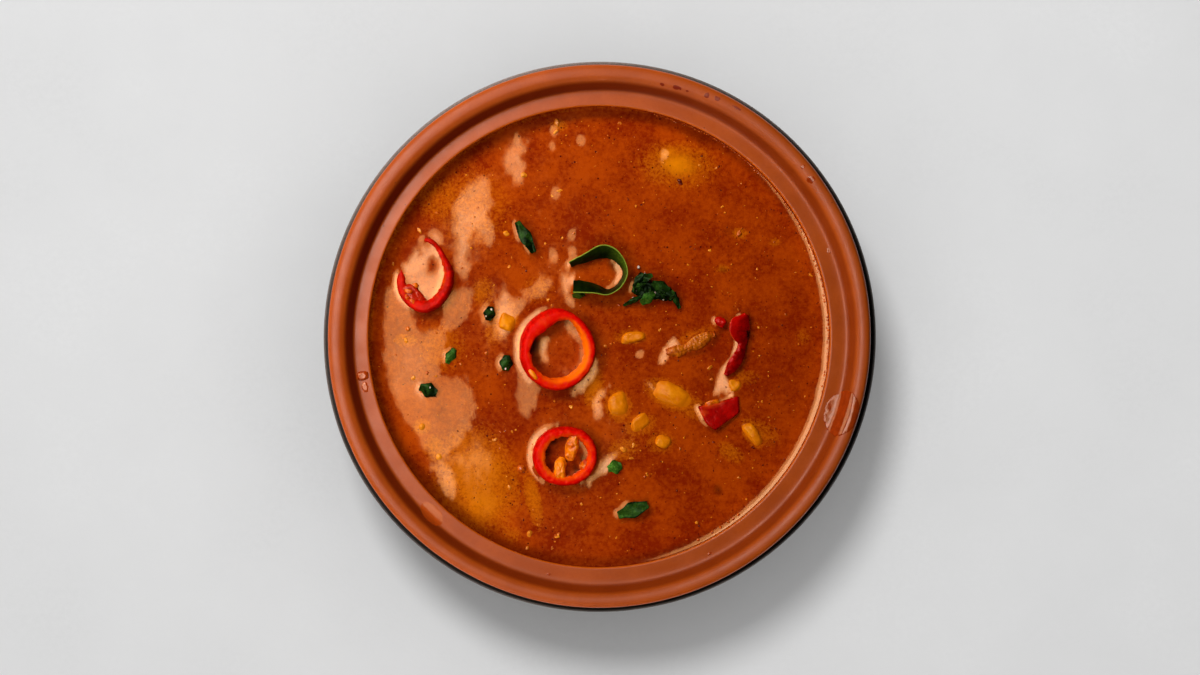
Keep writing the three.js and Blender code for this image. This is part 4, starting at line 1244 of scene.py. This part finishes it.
# Small bits at the surface: x, y, radius and tone, from dark red at 0 to pale yellow at 1
PLACED_BITS = [
    (-53.1, 31, 1.2, 0.8), (-27.3, 30.4, 1.2, 0.9), (-21.8, 47.4, 1.2, 0.9), (-12.7, 62.7, 1.2, 0.8),
    (-12.7, 60.3, 0.9, 0.9), (41.3, 30.4, 1.1, 0.5), (51.5, 27.8, 0.8, 0.4), (46.3, 19.8, 0.6, 0.9),
    (32.5, 25.4, 0.5, 1), (10.8, 38.3, 0.5, 0.9), (5.8, 62.7, 0.8, 0.7), (-56.9, -1, 1, 0.9),
    (-54.6, -12.1, 0.8, 0.9), (-52, -26.5, 1.3, 0.9), (-47, -35.3, 1.3, 1), (-20.3, -58.1, 1.3, 0.8),
    (-12.4, -58.7, 1.3, 1), (-17.9, -55.2, 0.7, 0.8), (-5.3, -62.8, 0.6, 0.7), (-5.3, -49.1, 0.7, 0.8),
    (14, -40.3, 0.8, 0.8), (5.2, -59, 0.8, 0.8), (-26.4, 20.7, 0.6, 0.8), (-30.8, -30.3, 0.9, 0.8),
    (-19.4, -50.8, 0.6, 0.7), (40.7, 7.8, 0.6, 0.6), (37.5, -11.2, 0.6, 0.5), (29.6, 50.3, 0.6, 0.8),
    (34.2, 49.5, 0.6, 0.8), (36, 38, 0.6, 0.9), (36.9, 36.3, 0.5, 0.9), (-11.5, 43, 0.8, 0.9),
    (-13.8, 41.3, 0.7, 0.9), (28.7, -54.6, 0.6, 0.8), (41, -41.4, 0.6, 0.7), (62.4, 18.1, 0.8, 0.8),
    (57.7, 18.7, 0.6, 0.8), (-29.1, 55.3, 0.6, 0.6), (-47.6, 36.3, 0.6, 0.6), (-60.5, 21.3, 0.6, 0.8),
    (23.7, -32.9, 0.6, 0.6), (-15.9, 27.5, 0.8, 0.9), (-10.9, 28.9, 0.6, 0.9), (17.8, 2, 0.6, 0.8),
    (2, -2.7, 0.8, 0.7), (-8.3, -20.6, 0.6, 0.9), (-25.6, -27.9, 0.6, 0.8), (-24.4, -27.4, 0.5, 1),
    (-26.4, -44.1, 0.8, 0.8), (-47.9, 1.1, 0.6, 0.6), (-21.2, -62, 0.6, 0.7), (-13.8, -62, 0.5, 0.7),
    (-15, 10.8, 0.6, 0.9), (23.6, 45.4, 1.2, 0.02), (32.6, -9.2, 1.4, 0.75), (33, -12.6, 0.9, 0.6),
    (7.2, -33, 1.5, 0.85), (4.6, -34.6, 1, 0.9), (10, -32, 0.9, 0.9), (9.4, -35.6, 0.7, 0.8),
]
PLACED_BUBBLES = [
    (-56.1, 2.3, 0.7), (-40.7, -8, 0.45), (-50.5, -10.6, 0.5), (-33.2, -4.8, 0.55), (-17.1, -37.6, 0.45),
    (-22.9, -38.8, 1.25), (-32.3, -19.4, 0.35), (-0.4, -19.1, 0.35), (-29.1, -27.9, 0.29),
    (-7.4, 30.4, 0.42), (3.5, -2.1, 0.38), (12.3, -27.4, 0.35), (13.4, -41.1, 0.42), (-12.7, -58.4, 0.55),
    (-11.8, -57.8, 0.4), (11.4, 20.6, 0.4), (13.4, 19, 0.35), (10.4, 13.8, 0.35), (5.8, 9.2, 0.4),
]


def make_bits(draw):
    random = np.random.default_rng(41)
    count, spread, furthest = 900, 66, 65.5
    rows = [(x, y, radius, tone, 4) for x, y, radius, tone in PLACED_BITS]
    while len(rows) < count:
        x, y = (random.random(2) * 2 - 1) * spread
        if math.hypot(x, y) > furthest:
            continue
        tone = random.choice([0.0, 0.05, 0.45, 0.7, 0.85, 0.95], p=[0.26, 0.12, 0.26, 0.16, 0.12, 0.08])
        rows.append((x, y, 0.13 + 0.24 * random.random() ** 2, tone, 2))
    z = soup_height(*np.array([row[:2] for row in rows]).T, draw)
    part = Part()
    for i, (px, py, radius, tone, detail) in enumerate(rows):
        wide, flat, sink = (1.6, 0.5, 0.22) if detail == 4 else (2, 0.8, 0.35)
        size = radius * wide * (0.8 + 0.4 * random.random(3)) * (1, 0.8, flat)
        lump(part, (px, py, z[i] - sink * radius), size, 360 * random.random(),
             300 + i, detail, 0.9, 0.14, 0.24 * radius, tone=tone)
    part.make("soup_bits", BITS, "potato", "soup")


def make_bubbles(draw):
    random = np.random.default_rng(43)
    tries, spread, line_start, line_end = 46, 62, 76, -14
    rows = list(PLACED_BUBBLES)
    for _ in range(tries):
        x, y = (random.random(2) * 2 - 1) * spread
        if math.hypot(x, y) < spread:
            rows.append((x, y, 0.14 + 0.14 * random.random()))
    angle = math.radians(line_start)
    while angle > math.radians(line_end):
        radius = 0.16 + 0.22 * random.random() ** 2
        away = WALL_RADIUS - radius - 0.15 - 0.5 * random.random() ** 3
        rows.append((away * math.cos(angle), away * math.sin(angle), radius))
        angle -= (2.1 * radius + 0.5 * random.random() ** 3) / WALL_RADIUS
    for degrees in (-52, -53.6, -55.1, -57.5, -60, -64):
        c, s = direction(degrees)
        away, radius = WALL_RADIUS - 1.4, 0.45
        rows.append((away * c, away * s, radius))
    z = soup_height(*np.array([row[:2] for row in rows]).T, draw)
    part = Part()
    for i, (px, py, radius) in enumerate(rows):
        corners, faces = sphere(3)
        part.add(corners * radius * (1, 1, 0.75) + (px, py, z[i] - 0.12 * radius), faces)
    part.make("soup_bubbles", BUBBLE, "broth", "soup")


# Pale drops lying on the herb, painted highlights: x, y, radius and lean in degrees towards the left
PAINTED_GLINT_DROPS = [
    (11.5, 20.4, 0.42, 14), (13.4, 18.3, 0.36, 10), (12.6, 17.2, 0.3, 12), (10.8, 13.7, 0.36, 12),
    (9.9, 11.3, 0.3, 10), (14.4, 16.6, 0.28, 14), (16.4, 12.8, 0.3, 12), (20.4, 13.4, 0.26, 12),
    (7.6, 9.6, 0.26, 10), (18.9, 10.9, 0.24, 12), (-31.6, 8, 0.3, 10), (-33.2, 6, 0.24, 12),
    (-27.5, -9.4, 0.26, 10), (-49.6, -14.9, 0.24, 12),
]


def make_painted_glint_drops():
    """Small flat pale drops, painted highlights, on what tops the soup, wherever one is met from above."""
    solids = [BVHTree.FromPolygons(corners.tolist(), faces) for corners, faces, *_ in AFLOAT]
    part = Part()
    for x, y, radius, lean in PAINTED_GLINT_DROPS:
        hits = [tree.ray_cast((x, y, FROM_ABOVE), (0, 0, -1))[0] for tree in solids]
        height = max([hit.z for hit in hits if hit is not None] + [SOUP_LEVEL + 0.2])
        corners, faces = sphere(3)
        q = corners * radius * (1, 1.25, 0.55)
        q[:, 2] += math.tan(math.radians(lean)) * q[:, 0]
        part.add(q + (x, y, height + 0.05), faces)
    part.make("herb_painted_glint_drops", PAINTED_GLINT_DROP, "broth", "herb_cluster")


# Sauce on the rim: middle angle and half width in degrees, radius of the middle and half width, thickness,
# how thin it looks and how square its outline is
RIM_SAUCE = [
    (342.5, 5.3, 74, 5.6, 0.3, 0.15, 1), (189.4, 1.15, 70.3, 2.1, 0.45, 0.25, 1.3),
    (192.2, 1.2, 69.9, 0.9, 0.15, 0.6, 1.3), (226.6, 4.2, 71.1, 3.2, 0.03, 1, 1),
    (76, 0.6, 75.8, 0.5, 0.03, 0, 1.2), (72.7, 1.1, 75.9, 0.7, 0.03, 0, 1.2),
    (70.3, 0.4, 75.9, 0.35, 0.03, 0, 1.2), (66, 0.7, 76.6, 0.8, 0.03, 0, 1.2),
    (63.6, 0.8, 76.9, 0.75, 0.03, 0, 1.2), (58.9, 1.3, 77.2, 0.35, 0.03, 0, 1.2),
    (39.8, 0.4, 76.8, 0.7, 0.04, 0, 1.2), (36.6, 0.9, 76.3, 1.2, 0.04, 0, 1.2),
    (258, 0.5, 70.9, 0.4, 0.06, 0, 1.2), (297, 0.6, 71.2, 0.35, 0.06, 0.2, 1.2),
    (20.5, 0.7, 71.6, 0.5, 0.06, 0.5, 1.2),
]
# Thickness below which a small one has dried
DRY_BELOW = 0.035


def make_rim_sauce():
    rim = rim_line()
    length = np.concatenate([[0], np.cumsum(lengths(np.diff(rim, axis=0)))])
    slope = np.gradient(rim, axis=0)
    normal = np.stack([slope[:, 1], -slope[:, 0]], axis=1)
    normal /= lengths(normal)[:, None]
    part = Part()
    for i, (middle, half, radius, reach, thick, thin, power) in enumerate(RIM_SAUCE):
        top = np.arange(len(rim)) > np.argmax(rim[:, 1]) - 8
        centre = length[top][np.argmin(np.abs(rim[top, 0] - radius))]
        big = reach > 2
        columns, rows = (110, 90) if big else (44, 36)
        a, b = crossed(np.linspace(-1, 1, columns) * 1.15, np.linspace(-1, 1, rows) * 1.15)
        where = np.clip(centre + b * reach, 0.5, length[-1] - 0.02)
        angle = np.radians(middle + a * half)
        r = rim_radius(np.interp(where, length, rim[:, 0]), angle)
        z = np.interp(where, length, rim[:, 1])
        nr, nz = np.interp(where, length, normal[:, 0]), np.interp(where, length, normal[:, 1])
        flat = together(a * half * 1.3 + 31 * i, b * reach, 0 * a)
        away = (np.abs(a) ** (2 * power) + np.abs(b) ** (2 * power)) ** (0.5 / power)
        cover = 1 - away + (0.13 if big else 0.32) * grain(flat, 2.4 if big else 0.7, 91 + i, 3)
        height = np.where(cover > 0, thick * np.sqrt(np.clip(cover, 0, 0.45) / 0.45), 0.6 * cover) - 0.02
        height = np.maximum(height, -0.25)
        r = r + nr * height
        point = together(r * np.cos(angle), r * np.sin(angle), z + nz * height)
        faces = grid_faces(columns, rows)
        keep = (height.ravel()[faces] > -0.2).any(axis=1)
        part.add(point, faces[keep], thin=thin, dry=float(thick < DRY_BELOW and not big))
    part.make("rim_sauce", SAUCE, "broth", "bowl")


make_bowl()
make_rings()
make_curl()
make_herbs()
make_pepper()
make_potatoes()
make_meat()
DRAW = Draw()
make_soup(DRAW)
make_bits(DRAW)
make_bubbles(DRAW)
make_painted_glint_drops()
make_rim_sauce()


# Table, light and camera, in metres

def make_table():
    half_size, points = 1.2, 3
    axis = np.linspace(-half_size, half_size, points)
    corners = [(x, y, 0) for x in axis for y in axis]
    mesh = bpy.data.meshes.new("table")
    mesh.from_pydata(corners, [], grid_faces(points, points).tolist())
    mesh.materials.append(table_look())
    table = placed("table", mesh)
    return table


def area_light(name, place, wide, tall, brightness, shape="RECTANGLE"):
    """A panel that faces the middle of the soup."""
    light = bpy.data.lights.new(name, "AREA")
    light.shape, light.size, light.size_y = shape, wide, tall
    area = wide * tall * (math.pi / 4 if shape == "DISK" else 1)
    light.energy = brightness * math.pi * area
    made = placed(name, light)
    made.location = place
    made.rotation_euler = (Vector((0, 0, 0.05)) - Vector(place)).to_track_quat("-Z", "Y").to_euler()
    return made


table = make_table()
table_only = bpy.data.collections.new("table_only")
table_only.objects.link(table)
all_but_table = bpy.data.collections.new("all_but_table")
all_but_table.objects.link(table)
all_but_table.collection_objects[0].light_linking.link_state = "EXCLUDE"
bowl_only = bpy.data.collections.new("bowl_only")
bowl_only.objects.link(bpy.data.objects["bowl_glazed"])
soup_and_pieces = bpy.data.collections.new("soup_and_pieces")
for left_out in (table, bpy.data.objects["bowl_glazed"]):
    soup_and_pieces.objects.link(left_out)
for member in soup_and_pieces.collection_objects:
    member.light_linking.link_state = "EXCLUDE"

# The bowl's shadow falls to the lower right, though the bowl itself is lit by a near window on its left
KEY_TILT, KEY_WAY, KEY_AWAY = math.radians(22), math.radians(113), 1.2
KEY_OUT = KEY_AWAY * math.sin(KEY_TILT)
KEY_PLACE = (KEY_OUT * math.cos(KEY_WAY), KEY_OUT * math.sin(KEY_WAY), KEY_AWAY * math.cos(KEY_TILT))
key = area_light("key", KEY_PLACE, 0.27, 0.27, 36.3, "DISK")
key.light_linking.receiver_collection = table_only
table_fill = area_light("table_fill", (0, 0, 1.6), 3.0, 3.0, 0.845)
table_fill.light_linking.receiver_collection = table_only


def level_light(name, middle, wide, tall, brightness, receivers):
    light = area_light(name, middle, wide, tall, brightness)
    light.rotation_euler = (0, 0, 0)
    light.light_linking.receiver_collection = receivers
    return light


# Low level panels in an arc round the left: place, side and brightness
LOW_ARC = [
    ("arc_far", (-0.05, 0.35, 0.30), 10.8), ("arc_far_left", (-0.30, 0.30, 0.30), 16.9),
    ("arc_left", (-0.40, 0.0, 0.30), 10.9), ("arc_near", (-0.10, -0.30, 0.30), 6.7),
]
for light_name, place, brightness in LOW_ARC:
    level_light(light_name, place, 0.2, 0.2, brightness, all_but_table).visible_glossy = False
level_light("near_sheen", (-0.105, 0.05, 0.40), 0.11, 0.22, 8.3, bowl_only).visible_diffuse = False
level_light("side_sheen", (-0.27, 0.13, 0.35), 0.32, 0.32, 5.0, soup_and_pieces).visible_diffuse = False

low_side = area_light("low_side", (-0.30, -0.68, 0.16), 0.3, 0.3, 7.5)
low_side.light_linking.receiver_collection = bowl_only
low_side.visible_glossy = False


def window(name, near, far, low, high, brightness, color=(1, 1, 1)):
    """A level panel on the left, far above the soup, given by the slopes at which its edges are seen."""
    above = 4.0
    middle = (-(near + far) / 2 * above, (low + high) / 2 * above, above + SOUP_LEVEL * MM)
    light = level_light(name, middle, (far - near) * above, (high - low) * above, brightness, soup_and_pieces)
    light.visible_diffuse = False
    light.data.color = color


window("window_low", 0.043, 0.13, -0.30, 0.36, 4.0)
window("window_high", 0.13, 0.42, -0.18, 0.45, 8.0, (1.0, 1.15, 1.7))


def make_world():
    """Dim room: dark overhead, lighter to the sides and most of all on the left."""
    world = bpy.data.worlds.new("world")
    world.use_nodes = True
    nodes, links = world.node_tree.nodes, world.node_tree.links
    way = nodes.new("ShaderNodeSeparateXYZ")
    links.new(nodes.new("ShaderNodeTexCoord").outputs["Generated"], way.inputs[0])

    def step(operation, *values):
        made = nodes.new("ShaderNodeMath")
        made.operation = operation
        for socket, value in zip(made.inputs, values):
            if isinstance(value, bpy.types.NodeSocket):
                links.new(value, socket)
            else:
                socket.default_value = value
        return made

    level = step("SUBTRACT", 1.0, way.outputs["Z"])
    level.use_clamp = True
    towards_left, middle = -0.21, 0.35
    side = step("MULTIPLY_ADD", way.outputs["X"], towards_left, middle)
    total = step("MULTIPLY", level.outputs[0], side.outputs[0])
    links.new(total.outputs[0], nodes["Background"].inputs["Strength"])
    bpy.context.scene.world = world


make_world()

camera_data = bpy.data.cameras.new("camera")
camera_data.lens = 85
camera_data.sensor_width = 36
camera = placed("camera", camera_data)
CAMERA_HEIGHT = 0.8798
camera.location = (0.00023, -0.00023, CAMERA_HEIGHT)
bpy.context.scene.camera = camera
bpy.context.scene.view_settings.view_transform = "Standard"
